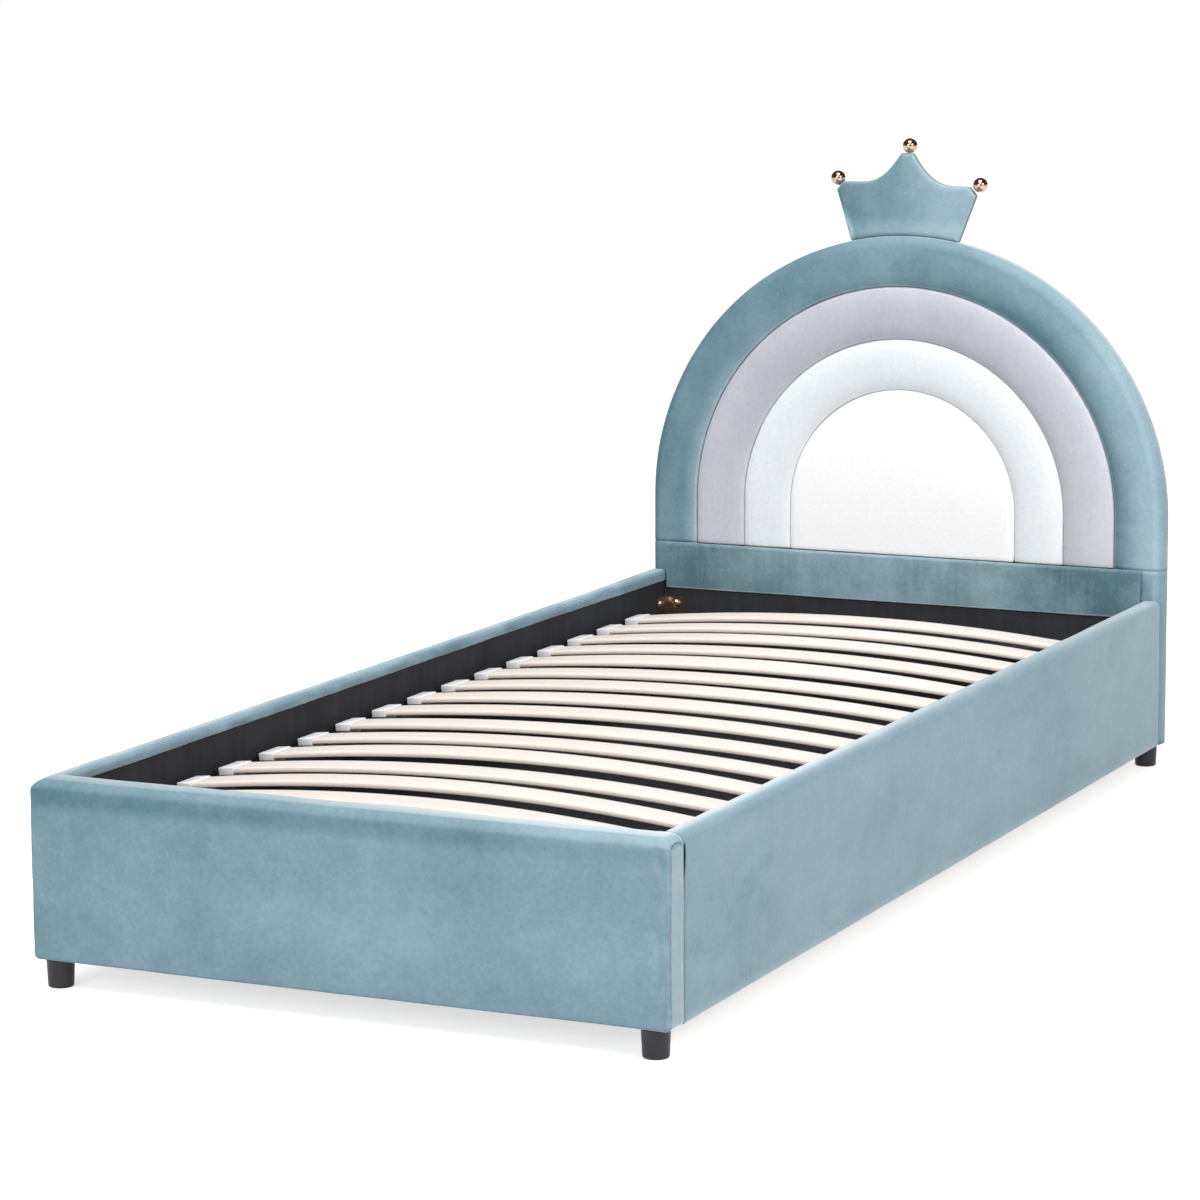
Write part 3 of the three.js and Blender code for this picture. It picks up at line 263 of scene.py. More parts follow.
def velvet(name, dark, light, pale, sheen, mottle, streaks, rim):
    material, tree = new_material(name)
    pale = linear(*pale)
    values = {"Dark colour": linear(*dark), "Light colour": linear(*light), "Pale colour": pale}
    values |= {"Mottle": mottle, "Streaks": streaks}
    values |= {key: point_value(tree, key.lower()) for key in ("Pile_and_light", "Stretch", "Crease_shade")}
    pile = add_node(tree, "Group", values, node_tree=velvet_group)
    # Painted sheen: the colour is mixed toward pale where the surface is seen edge-on, scaled by
    # each point's sheen value.
    facing = add_node(tree, "LayerWeight", {"Blend": 0.5})["Facing"]
    painted_sheen_share = span(tree, facing, 0.55, 0.95, 0, rim, True)
    painted_sheen_share = math_node(tree, "MULTIPLY", painted_sheen_share, point_value(tree, "painted_sheen"))
    look = {"Base Color": mix(tree, painted_sheen_share, pile["Colour"], pale), "Roughness": pile["Roughness"]}
    look |= {"Specular IOR Level": 0.12, "Sheen Weight": sheen, "Sheen Roughness": 0.3}
    look |= {"Sheen Tint": (0.92, 0.97, 1.0, 1)}
    surface(tree, look, pile["Height"], 0.3, 0.0005)
    return material


# Each velvet: dark and light pile, a pale colour for stretched cover and painted sheen, the
# shader's sheen, mottle, streaks, and how much painted sheen shows edge-on.
VELVETS = {
    f"{name}_velvet": velvet(f"{name}_velvet", *values)
    for name, *values in (
        ("blue", (91, 123, 137), (164, 189, 200), (236, 243, 246), 0.25, 0.18, 0.012, 0.9),
        ("grey", (162, 165, 175), (206, 208, 216), (228, 230, 236), 0.15, 0.16, 0.03, 0.5),
        ("pale", (216, 222, 228), (242, 246, 249), (249, 250, 252), 0.15, 0.14, 0.02, 0.5),
        ("white", (249, 249, 251), (254, 254, 254), (254, 254, 254), 0.1, 0.14, 0.02, 0.5),
        ("brushed_blue", (90, 120, 132), (168, 194, 205), (214, 226, 232), 0.2, 0.26, 0.06, 0.7),
    )
}
METALLIC = {"Metallic": 1.0}
LOW_GLOSS = {"Specular IOR Level": 0.3}


def plain(name, first, second, rough, patch, bump, more=None, grain=None, rough_grain=False,
          rough_start=0.3, stretch=None):
    """Two tones in patches, roughness that varies, and a bump from the patches or a finer grain."""
    material, tree = new_material(name)
    place = object_place(tree)
    if stretch:
        place = scaled(tree, place, stretch)
    patches = noise_of(tree, *patch, place)
    fine = noise_of(tree, *grain, place) if grain else patches
    tone = mix(tree, span(tree, patches, 0.3, 0.7, 0, 1), linear(*first), linear(*second))
    source = fine if rough_grain else patches
    look = {"Base Color": tone, "Roughness": span(tree, source, rough_start, 0.7, *rough)}
    surface(tree, look | (more or {}), fine, *bump)
    return material


# Shapes are drawn in millimetres with Y counted from the foot panel's face, as on a bench.
# Each soft point keeps how far its cover is stretched, its painted shade in creases, and the
# lay of its pile with painted light and shade.
LENGTH = cad_high.y - cad_low.y


def metres(point):
    return Vector((point[0] / 1000, point[1] / 1000 - LENGTH / 2, point[2] / 1000))


def ripple(x, y, z):
    return noise.noise(Vector((x, y, z)))


def soft_sway(place):
    quick = noise.noise(place * 23.0 + Vector((3.1, 7.7, 1.3)))
    return 0.7 * noise.noise(place * 7.0) + 0.3 * quick


def bell(value, width):
    return exp(-((value / width) ** 2))


def step_up(low, high, value):
    t = max(0.0, min(1.0, (value - low) / (high - low)))
    return t * t * (3 - 2 * t)


def arc(x, z, radius, first, last, steps, tall=None):
    """Points round (x, z) from one angle to another, in degrees; tall is the radius in z."""
    tall = radius if tall is None else tall
    angles = [radians(first + (last - first) * i / steps) for i in range(steps + 1)]
    return [(x + radius * cos(a), z + tall * sin(a)) for a in angles]


def keep_values(mesh, values):
    for key, numbers in values.items():
        mesh.attributes.new(key, "FLOAT", "POINT").data.foreach_set("value", numbers)


def build(name, points, faces, material, body, slot, sharp=40, sway=0.0, values=None, weld=False):
    """One piece on its body: sway ripples it, and edges over the sharp angle stay crisp."""
    mesh = bpy.data.meshes.new(name)
    mesh.from_pydata([metres(p) for p in points], [], faces)
    mesh.validate()
    keep_values(mesh, values or {})
    shape = bmesh.new()
    shape.from_mesh(mesh)
    if weld:
        bmesh.ops.remove_doubles(shape, verts=shape.verts, dist=1e-5)
    bmesh.ops.recalc_face_normals(shape, faces=shape.faces)
    shape.to_mesh(mesh)
    shape.free()
    if sway:
        normals = [v.normal.copy() for v in mesh.vertices]
        for v, normal in zip(mesh.vertices, normals):
            v.co += normal * soft_sway(v.co) * sway / 1000
    for face in mesh.polygons:
        face.use_smooth = True
    mesh.set_sharp_from_angle(angle=radians(sharp))
    piece = placed(name, mesh)
    piece.data.materials.append(material)
    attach(piece, body)
    return piece


def soft_piece(name, node, slot, marks, faces, sharp, sway, fill, pile_and_light, brush, cover=None,
               weld=False):
    """A padded piece. marks are its points with their stretch and painted shade in creases. A
    function gives the lay of the pile; three numbers after it add painted light where the piece
    faces right, painted light where it faces up, and a painted sheen edge-on."""
    points, stretch, crease_shade = [m[:3] for m in marks], [m[3] for m in marks], [m[4] for m in marks]
    material, values = VELVETS[cover or slot], {"stretch": stretch, "crease_shade": crease_shade}
    piece = build(name, points, faces, material, "bed", slot, sharp, sway, values, weld)
    painted_light_right, painted_light_up, painted_sheen = brush
    pile_and_light_list, painted_sheens = [], []
    for v in piece.data.vertices:
        # Painted light: lighter where the surface faces right or up.
        pile_and_light_list.append(pile_and_light(v.co) + painted_light_right * v.normal.x + painted_light_up * v.normal.z)
        painted_sheens.append(painted_sheen(v.co) if callable(painted_sheen) else painted_sheen)
    keep_values(piece.data, {"pile_and_light": pile_and_light_list, "painted_sheen": painted_sheens})
    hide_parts(node)


def rings_to_faces(count, around, closed_ends=True):
    faces = []
    for ring in range(count - 1):
        for i in range(around):
            a, b = ring * around + i, ring * around + (i + 1) % around
            faces.append((a, b, b + around, a + around))
    if closed_ends:
        faces.append(tuple(range(around - 1, -1, -1)))
        faces.append(tuple((count - 1) * around + i for i in range(around)))
    return faces


# Headboard: the arched pads, cut from foam and each covered apart, then stapled to the board.
# Blue wraps the board's edge; grey and pale stand inside it; the white pad fills the middle.
HALF = 482.5
SPRING = 428
SEAM = 346
SEAM_WIDTH = 7
HEAD_FRONT = 2076
HEAD_BACK = 2124
PANEL_LOW = 40
PANEL_HIGH = 295
BLUE_INNER = 394.2
GREY_INNER = 301.5
PALE_INNER = 212.3
GROOVE = 0.3
PAD_BACK = 27.7
PAD_DROP = 12.0
PAD_STEPS = 28
ARCH_STEPS = 120
LEG_STEP = 12


def pad_face(share):
    return (1 - abs(2 * share - 1) ** 2.5) ** (1 / 2.5)


# Paler close to a pad's edge, partly where the cover is stretched over it and partly painted sheen
# along the groove.
def edge_pull(distance, most):
    return most * bell(distance - 2.5, 1.6)


PAD_SHARES = [(1 - cos(pi * i / PAD_STEPS)) / 2 for i in range(PAD_STEPS + 1)]


def blue_legs():
    """Levels up the leg, close together at the seam, and how full the pad is at each."""
    levels = {PANEL_LOW + LEG_STEP * i for i in range(int((SPRING - PANEL_LOW) / LEG_STEP) + 1)}
    levels |= {round(SEAM + SEAM_WIDTH * k / 6, 3) for k in range(-9, 10)}
    levels = sorted(z for z in levels if z < SPRING - 0.2)
    return [(z, 1 - bell(z - SEAM, SEAM_WIDTH * 0.4)) for z in levels]


def sweep_band(colour, legs, section, sway, pile_and_light, painted_sheen, seam_crease_shade=0.0):
    """Sweeps a section up the left leg, round the arch and down the right leg."""
    stations = [(0.0, z, fullness) for z, fullness in legs]
    stations += [(pi * i / ARCH_STEPS, SPRING, 1.0) for i in range(ARCH_STEPS + 1)]
    stations += [(pi, z, fullness) for z, fullness in reversed(legs)]
    marks = []
    for turn, z, fullness in stations:
        ring = section(fullness)
        # Painted shade in the seam, where the band is pinched in.
        crease_shade = seam_crease_shade * (1 - fullness) ** 3
        for radius, depth, pull in ring:
            x, up = -radius * cos(turn), z + radius * sin(turn)
            marks.append((x, HEAD_FRONT + depth, up, pull, crease_shade))
    faces = rings_to_faces(len(stations), len(ring))
    name, node, slot = f"{colour}_band", f"headboard_{colour}_band", f"{colour}_velvet"
    soft_piece(name, node, slot, marks, faces, 50, sway, 0.75, pile_and_light, (0.4, 0.25, painted_sheen))


def band_section(inner, outer):
    def section(fullness):
        ring = []
        for share in PAD_SHARES:
            edge = min(share, 1 - share) * (outer - inner)
            depth = PAD_DROP * (1 - pad_face(share) * fullness)
            ring.append((inner + (outer - inner) * share, depth, edge_pull(edge, 0.3)))
        return ring + [(outer, PAD_BACK, 0), (inner, PAD_BACK, 0)]

    return section


def wrapped_section(fullness):
    """From the groove over the crest, round the board's front edge and in under its back."""
    edge_radius, roll, back_radius = 21.0, 1.6, 12
    inner = BLUE_INNER + GROOVE
    crest = inner + (HALF - inner) * 0.5
    flat = 1.6 * (1 - fullness)
    pinch = 1.2 * (1 - fullness)
    ring = []
    for share in PAD_SHARES[:PAD_STEPS // 2 + 1]:
        across = (crest - inner) * 2 * share
        depth = PAD_DROP * (1 - pad_face(share)) + flat
        ring.append((inner + across, depth, edge_pull(across, 0.22)))
    for t in (i / 6 for i in range(1, 6)):
        ring.append((crest + (HALF - edge_radius - crest) * t, flat + roll * t * t, 0.0))
    front = (HALF - edge_radius, flat + edge_radius, edge_radius, -90, 0, 14, edge_radius - roll)
    seen = arc(*front) + [(HALF - pinch, depth) for depth in (24, 28, 32)]
    seen += arc(HALF - back_radius, 36, back_radius, 0, 90, 8)[1:]
    seen += [(HALF - 16, 48), (HALF - 17, 47.4), (HALF - 17, 46.4), (HALF - 8, 46.4)]
    seen += [(HALF - 8, PAD_BACK), (inner, PAD_BACK)]
    return ring + [(across, depth, 0.0) for across, depth in seen]


def round_the_arch(co):
    """How far round the arch a place is, in degrees from its left foot, and its radius."""
    if co.z * 1000 < SPRING:
        return (0 if co.x < 0 else 180), abs(co.x) * 1000
    rise = co.z * 1000 - SPRING
    return degrees(atan2(rise, -co.x * 1000)), hypot(co.x * 1000, rise)


def blue_pile_and_light(co):
    """Painted light and shade: dark up the left and over the top, light down the right and beside
    the left groove, painted shade beside the right groove, on the outer side at the right and
    in patches below the seam on the right leg.
    """
    turn, radius = round_the_arch(co)
    out = (radius - BLUE_INNER) / (HALF - BLUE_INNER)
    pile_and_light = 0.2 + 0.1 * step_up(60, 110, turn) + 0.4 * step_up(105, 165, turn)
    pile_and_light -= 0.42 * step_up(95, 130, turn) * step_up(0.6, 0.02, out)
    pile_and_light += 0.26 * step_up(80, 30, turn) * step_up(0.34, 0.02, out)
    pile_and_light -= 0.4 * step_up(HALF - 14, HALF - 2, radius) * step_up(120, 170, turn)
    pile_and_light += 0.1 * ripple(turn / 9, radius / 40, 2.0)
    if co.x > 0:
        seam_patches = 0.25 * ripple(co.x * 60, co.z * 30, 7.0)
        front = step_up(HALF - 8, HALF - 22, radius)
        pile_and_light -= step_up(0.35, 0.335, co.z) * (0.2 + (0.16 + seam_patches) * front)
    return pile_and_light


# Painted sheen round the arch: stronger over the top toward the right, faint down the right leg.
def blue_painted_sheen(co):
    turn = round_the_arch(co)[0]
    return 0.55 + 0.35 * step_up(60, 130, turn) - 0.8 * step_up(150, 180, turn)


sweep_band("blue", blue_legs(), wrapped_section, 0.8, blue_pile_and_light, blue_painted_sheen, 0.5)


def pad_legs():
    """Levels up the leg of an inner band, rounded at its foot, which stands on the cross panel."""
    legs = []
    for z in (0, 0.4, 1.2, 2.4, 4, 6, 8.5, 11.5, 15):
        rounding = (1 - (1 - z / 15) ** 2.6) ** (1 / 2.6)
        legs.append((SEAM + GROOVE + z, 0.72 + 0.28 * rounding))
    return legs + [(SEAM + 22 + LEG_STEP * i, 1.0) for i in range(5)]


def pad_pile_and_light(left, right, inner, outer):
    """Painted light growing from left to right across the pad, painted light low down, and
    lighter toward the pad's outer edge.
    """

    def pile_and_light(co):
        out = (round_the_arch(co)[1] - inner) / (outer - inner)
        low = 0.3 * step_up(0.85, 0.36, co.z) + 0.14 * step_up(0.5, 0.36, co.z)
        across = (right - left) * step_up(-0.4, 0.4, co.x)
        return left + across + 0.2 * step_up(0.2, 0.9, out) + low

    return pile_and_light


for colour, left, right, inner, outer in (
    ("grey", 0.3, 0.4, GREY_INNER, BLUE_INNER),
    ("pale", 0.14, 0.22, PALE_INNER, GREY_INNER),
):
    section = band_section(inner + GROOVE, outer - GROOVE)
    sweep_band(colour, pad_legs(), section, 0.5, pad_pile_and_light(left, right, inner, outer), 0.7)


# Flat pads of any outline: the face is a fine net of triangles that falls to the edge in a
# rounded shoulder, so the pad looks stuffed. It is used for the white pad and for the crown.
def nearest_on_outline(point, outline):
    best = 1e9
    for i, start in enumerate(outline):
        along = outline[(i + 1) % len(outline)] - start
        t = max(0.0, min(1.0, (point - start).dot(along) / max(along.length_squared, 1e-9)))
        best = min(best, (point - start - along * t).length_squared)
    return sqrt(best)


def inside(point, outline):
    hit = False
    for i, a in enumerate(outline):
        b = outline[i - 1]
        if (a.y > point.y) != (b.y > point.y):
            if point.x < (b.x - a.x) * (point.y - a.y) / (b.y - a.y) + a.x:
                hit = not hit
    return hit


def inward_copy(outline, distance):
    moved = []
    for i, point in enumerate(outline):
        arriving = (point - outline[i - 1]).normalized()
        leaving = (outline[(i + 1) % len(outline)] - point).normalized()
        inward = Vector((-arriving.y - leaving.y, arriving.x + leaving.x)).normalized()
        reach = distance / max(0.35, inward.y * arriving.x - inward.x * arriving.y)
        moved.append(point + inward * reach)
    return moved


def resample(outline, step):
    out = []
    for i, start in enumerate(outline):
        end = outline[(i + 1) % len(outline)]
        pieces = max(1, round((end - start).length / step))
        out += [start.lerp(end, k / pieces) for k in range(pieces)]
    return out


def face_net(outline, shoulder, cell):
    """Points and triangles inside an outline, with rows that follow its edge."""
    points = list(outline)
    edges = [(i, (i + 1) % len(outline)) for i in range(len(outline))]

    def keep_within(p, distance):
        if inside(p, outline) and nearest_on_outline(p, outline) > distance:
            points.append(p)

    for row in (0.06, 0.16, 0.3, 0.48, 0.7, 1.0):
        for p in inward_copy(outline, shoulder * row):
            keep_within(p, shoulder * row * 0.9)
    xs, ys = [p.x for p in outline], [p.y for p in outline]
    y = min(ys) + cell / 2
    odd = False
    while y < max(ys):
        x = min(xs) + (cell / 2 if odd else 0)
        while x < max(xs):
            keep_within(Vector((x, y)), shoulder * 1.05)
            x += cell
        y += cell * 0.866
        odd = not odd
    made = geometry.delaunay_2d_cdt(points, edges, [], 1, 1e-4)
    return made[0], made[2]


def puffed_pad(name, node, slot, outline, front, back, shoulder, squareness, dome, cell, sway,
               pile_and_light, brush, sides=(-1,), firm_edge=0.0, edge_crease_shade=0.0):
    """A stuffed pad. sides are -1 for the front and 1 for the back."""
    net, triangles = face_net(outline, shoulder, cell)
    marks, faces = [], []
    rim = (back - front) / 2
    reach = max(nearest_on_outline(p, outline) for p in net)
    lowest = min(p.y for p in outline)
    upper = [p for p in outline if p.y > lowest + 1]
    for side in sides:
        start = len(marks)
        for p in net:
            edge = near = nearest_on_outline(p, outline)
            if firm_edge and p.y - lowest < shoulder:
                beside = min((p - q).length for q in upper)
                near = min(beside, p.y - lowest + shoulder * firm_edge)
            rise = (1 - (1 - min(1.0, near / shoulder)) ** squareness) ** (1 / squareness)
            bulge = rise * (rim - dome) + dome * sin(min(1.0, edge / reach) * pi / 2)
            # Painted shade along the pad's outline, within 0.6 mm of the edge.
            pull, fold = 0.25 * bell(edge - 1.5, 1.6), edge_crease_shade if edge < 0.6 else 0.0
            marks.append((p.x, front + rim + side * bulge, p.y, pull, fold))
        faces += [tuple(start + i for i in triangle) for triangle in triangles]
    if len(sides) == 1:
        start, ring = len(marks), len(outline)
        marks += [(p.x, back, p.y, 0, 0) for p in net[:ring]]
        for i in range(ring):
            j = (i + 1) % ring
            faces.append((i, j, start + j, start + i))
        faces.append(tuple(start + i for i in range(ring)))
    soft_piece(name, node, slot, marks, faces, 75, sway, 0.7, pile_and_light, brush, weld=True)


def half_disc(radius, bottom, corner, step):
    outline = [(corner - radius, bottom)]
    outline += arc(radius - corner, bottom + corner, corner, -90, 0, 5)
    outline += arc(0, SPRING, radius, 0, 180, 60)
    outline += arc(corner - radius, bottom + corner, corner, 180, 270, 5)[:-1]
    return resample([Vector(p) for p in outline], step)


puffed_pad(
    "white_pad", "headboard_centre_pad", "white_velvet",
    half_disc(radius=PALE_INNER - GROOVE, bottom=SEAM + GROOVE, corner=3, step=7),
    front=HEAD_FRONT, back=HEAD_FRONT + PAD_BACK, shoulder=18, squareness=2.4, dome=2.5, cell=11,
    sway=0.5, pile_and_light=lambda co: 0.6, brush=(0.5, 0.3, 0.8), firm_edge=0.4,
)

# Crown: two layers of foam round a board, covered in blue velvet and seated on the arch.
# Its three points are cut blunt for the balls, and it leans a little, as it was screwed on.
ARCH_TOP = SPRING + HALF
CROWN_FOOT = 101
CROWN_THICK = 30
SHOULDER = (131.0, ARCH_TOP + 75)
HORN = (117.5, ARCH_TOP + 90)
TIP = (11.5, ARCH_TOP + 143.5)
LEAN = radians(1.6)
CROWN_ASIDE = -4.5


def leaned(x, z, aside):
    rise = z - ARCH_TOP
    turned_x = x * cos(LEAN) + rise * sin(LEAN)
    return turned_x + aside, ARCH_TOP + rise * cos(LEAN) - x * sin(LEAN)


def bezier(a, b, c, d, steps):
    out = []
    for t in (i / steps for i in range(1, steps + 1)):
        u = 1 - t
        out.append(a * u ** 3 + b * 3 * t * u ** 2 + c * 3 * t * t * u + d * t ** 3)
    return out


def rounded(outline, radius, least_turn):
    out = []
    for i, point in enumerate(outline):
        arriving, leaving = point - outline[i - 1], outline[(i + 1) % len(outline)] - point
        turn = arriving.angle(leaving) if arriving.length and leaving.length else 0
        if degrees(turn) < least_turn:
            out.append(point)
            continue
        reach = min(radius * tan(turn / 2), arriving.length * 0.45, leaving.length * 0.45)
        start = point - arriving.normalized() * reach
        end = point + leaving.normalized() * reach
        out += [start] + bezier(start, start.lerp(point, 0.55), end.lerp(point, 0.55), end, 4)
    return out


def crown_outline():
    """Up the right side, over the three points, down the left, and along the arch to the right."""
    foot_turn = acos(CROWN_FOOT / (HALF + 0.3))
    valley = TIP[0] + (HORN[0] - TIP[0]) * 0.3
    right = [Vector(SHOULDER), Vector(HORN), Vector((HORN[0] * 0.72, HORN[1]))]
    low_end, high_end = Vector((valley + 6, HORN[1] + 2)), Vector((valley - 11, HORN[1] + 22))
    right += bezier(right[-1], low_end, high_end, Vector(TIP), 14)
    left = [Vector((-p.x, p.y)) for p in reversed(right)]
    foot = []
    for i in range(25):
        x = HALF * cos(pi - foot_turn + (2 * foot_turn - pi) * i / 24) + CROWN_ASIDE
        foot.append(Vector((x, SPRING + sqrt((HALF - 0.6) ** 2 - x * x))))
    leaning = [Vector(leaned(p.x, p.y + 1.2, CROWN_ASIDE)) for p in right + left]
    return rounded(leaning + foot, 4.0, 28)


def crown_pile_and_light(co):
    """Painted shade down the left, painted light at the right, round the very edges and along
    the foot.
    """
    width = 0.1 + 0.033 * step_up(0.91, 0.99, co.z)
    across = (co.x - CROWN_ASIDE / 1000) / width
    pile_and_light = 0.29 - 0.22 * step_up(-0.4, -0.8, across) + 0.34 * step_up(-0.4, 0.9, across)
    pile_and_light += 0.85 * step_up(-0.89, -0.99, across) + 0.3 * step_up(0.95, 0.92, co.z)
    return pile_and_light + 0.08 * noise.noise(co * 30)


# Painted sheen, strongest along the crown's left edge.
def crown_painted_sheen(co):
    return 0.4 + 0.6 * step_up(-0.085, -0.105, co.x)


puffed_pad(
    "crown", "crown_pad", "blue_velvet", resample(crown_outline(), 3.2),
    front=HEAD_BACK - CROWN_THICK, back=HEAD_BACK, shoulder=9, squareness=2.1, dome=2.0, cell=5.5,
    sway=0.35, pile_and_light=crown_pile_and_light, brush=(0.1, 0.0, crown_painted_sheen), sides=(-1, 1), edge_crease_shade=0.6,
)

# Balls of the crown: turned brass with a rose tint, polished bright, each with a small flat
# seat that stands on a cut point of the crown.
rose_brass = plain(
    "polished_rose_brass", (202, 178, 156), (188, 162, 140), rough=(0.05, 0.13),
    patch=(60, 3, 0.6), bump=(0.03, 0.0002), more=METALLIC, rough_start=0.35,
)
BALL_RADIUS = 13.0
BALL_SEAT = 4.5


def turned(profile, around, place, axis):
    """Rings of a turned piece: profile is (radius, height) along axis, from place."""
    axis = Vector(axis).normalized()
    side = axis.orthogonal().normalized()
    other = axis.cross(side)
    points = []
    for radius, height in profile:
        for a in (2 * pi * i / around for i in range(around)):
            outward = (side * cos(a) + other * sin(a)) * radius
            points.append(tuple(Vector(place) + axis * height + outward))
    return points, rings_to_faces(len(profile), around)


def crown_ball(where, x, z, lean, aside, up):
    x, z = leaned(x, z + up, aside)
    axis = Vector((sin(lean + LEAN), 0, cos(lean + LEAN)))
    base = Vector((x, HEAD_BACK - CROWN_THICK / 2, z)) + axis * 0.3
    seat = asin(BALL_SEAT / BALL_RADIUS)
    profile = [(BALL_SEAT - 0.5, 0), (BALL_SEAT, 0.15)]
    for a in (seat + (pi - seat - 0.02) * i / 32 for i in range(1, 33)):
        profile.append((sin(a) * BALL_RADIUS, (cos(seat) - cos(a)) * BALL_RADIUS))
    points, faces = turned(profile, 48, base, axis)
    ball = build(f"ball_{where}", points, faces, rose_brass, "bed", "rose_brass", 60)
    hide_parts(f"crown_ball_{where}")


corner = ((SHOULDER[0] + HORN[0]) / 2, (SHOULDER[1] + HORN[1]) / 2)
outward = pi / 2 - atan2(SHOULDER[0] - HORN[0], HORN[1] - SHOULDER[1])
crown_ball("right", corner[0], corner[1], outward, -2.0, 4.0)
crown_ball("left", -corner[0], corner[1], -outward, -1.0, 4.0)
crown_ball("middle", 0, TIP[1], 0, -1.4, 1.4)

# A dark tent round and over the lamps, seen by gloss alone: it stands for the dark studio that
# the polished brass shows in its upper half, over the white floor in its lower half.
TENT_RADIUS = 13
TENT_RINGS = 7
tent_points = []
for height in (radians(7 + 13.8 * ring) for ring in range(TENT_RINGS)):
    ring = arc(0, 0, TENT_RADIUS * cos(height), 0, 345, 23)
    tent_points += [(x, y, TENT_RADIUS * sin(height)) for x, y in ring]
tent_mesh = bpy.data.meshes.new("dark_card")
tent_mesh.from_pydata(tent_points, [], rings_to_faces(TENT_RINGS, len(ring), False))
tent = placed("dark_card", tent_mesh)
tent_paint, tent_tree = new_material("dark_card")
tent_mark = noise_of(tent_tree, 1.2, 2, 0.5, object_place(tent_tree))
tent_tone = mix(tent_tree, tent_mark, linear(88, 76, 68), linear(108, 94, 84))
surface(tent_tree, {"Base Color": tent_tone, "Roughness": 0.9})
tent.data.materials.append(tent_paint)
tent.visible_camera = False
tent.visible_diffuse = False
tent.visible_shadow = False
tent.visible_transmission = False

# Side rails: boards in a foam and velvet cover that turns in over the top edge and is stapled
# inside. The covers' ends are rounded where they meet the foot panel and the headboard.
RAIL_START = 45.3
RAIL_END = 2075.7
RAIL_LENGTH = RAIL_END - RAIL_START
RAIL_INNER = 450.5
LAP_LOW = 278.0
END_STEPS = [0, 0.5, 1.2, 2.2, 3.5, 5.5, 9]


def rail_outline(y):
    """The cover's section: x, z, stretch and painted shade in creases. First what is seen, from
    the outer lower edge up, over and down to the end of the lap inside; then what rests on the
    board."""
    shoulder = 17 - 8 * step_up(1750, 2060, y)
    top = PANEL_HIGH - 8
    seen = [(x, z, 0.1, 0) for x, z in arc(HALF - 5, PANEL_LOW + 5, 5, -90, 0, 6)]
    tall = PANEL_HIGH - shoulder - PANEL_LOW - 5
    bend = [(HALF, PANEL_LOW + 5 + tall * i / 24) for i in range(1, 24)]
    bend += arc(HALF - shoulder, PANEL_HIGH - shoulder, shoulder, 0, 90, 8)
    bend += arc(RAIL_INNER + 8, top, 8, 90, 180, 7)
    sag = 0.7 * ripple(y / 160, 3.7, 0) + 0.5 * ripple(y / 45, 8.1, 0)
    low = LAP_LOW + 0.6 + sag - 3.2 * step_up(1450, 2060, y)
    bend += [(RAIL_INNER, top + (low + 1 - top) * t) for t in (0.25, 0.5, 0.75, 0.9)]
    seen += [(x, z, 0, 0) for x, z in bend] + [(RAIL_INNER + 0.3, low + 0.9, 0.35, 0)]
    hidden = [(RAIL_INNER + 1.3, low, 0.2, 0.3), (RAIL_INNER + 1.6, top, 0, 0)]
    hidden += [(HALF - 8, top, 0, 0), (HALF - 8, PANEL_LOW + 2, 0, 0)]
    hidden += [(RAIL_INNER + 11, z, 0, 0) for z in (PANEL_LOW + 2, PANEL_LOW)]
    return seen, hidden


def rail_end(x, z, fold, s):
    """Draws a seen point in at the cover's ends, s from the foot: its new place, and painted shade
    in the gap at the end.
    """
    near, at_foot = min(s, RAIL_LENGTH - s), s < RAIL_LENGTH / 2
    inset = 4.4 * (1 - sqrt(1 - (1 - min(1.0, near / 5.5)) ** 2))
    if at_foot:
        inset *= step_up(PANEL_HIGH, PANEL_HIGH - 18, z)
    dx = -inset if x > HALF - 15 else inset * 0.2
    dz = -inset if z > PANEL_HIGH - 14 else (inset * 0.4 if z < PANEL_LOW + 6 else 0)
    dy = 0.0
    if near < 9 and at_foot:
        gape = 0.6 + 6.4 * step_up(212, 266, z)
        dy = gape * step_up(287, 276, z) * (1 - near / 9)
    elif near < 9:
        dy = -3.4 * step_up(PANEL_HIGH - 26, PANEL_HIGH, z) ** 2 * (1 - near / 9)
    x, z = x + dx, z + dz
    if x > HALF - 14:
        shade = (2.2 + 1.4 * step_up(222, 255, z)) * step_up(284, 274, z)
        fold = max(fold, shade * bell(near, 1.5))
    return x, dy, z, fold


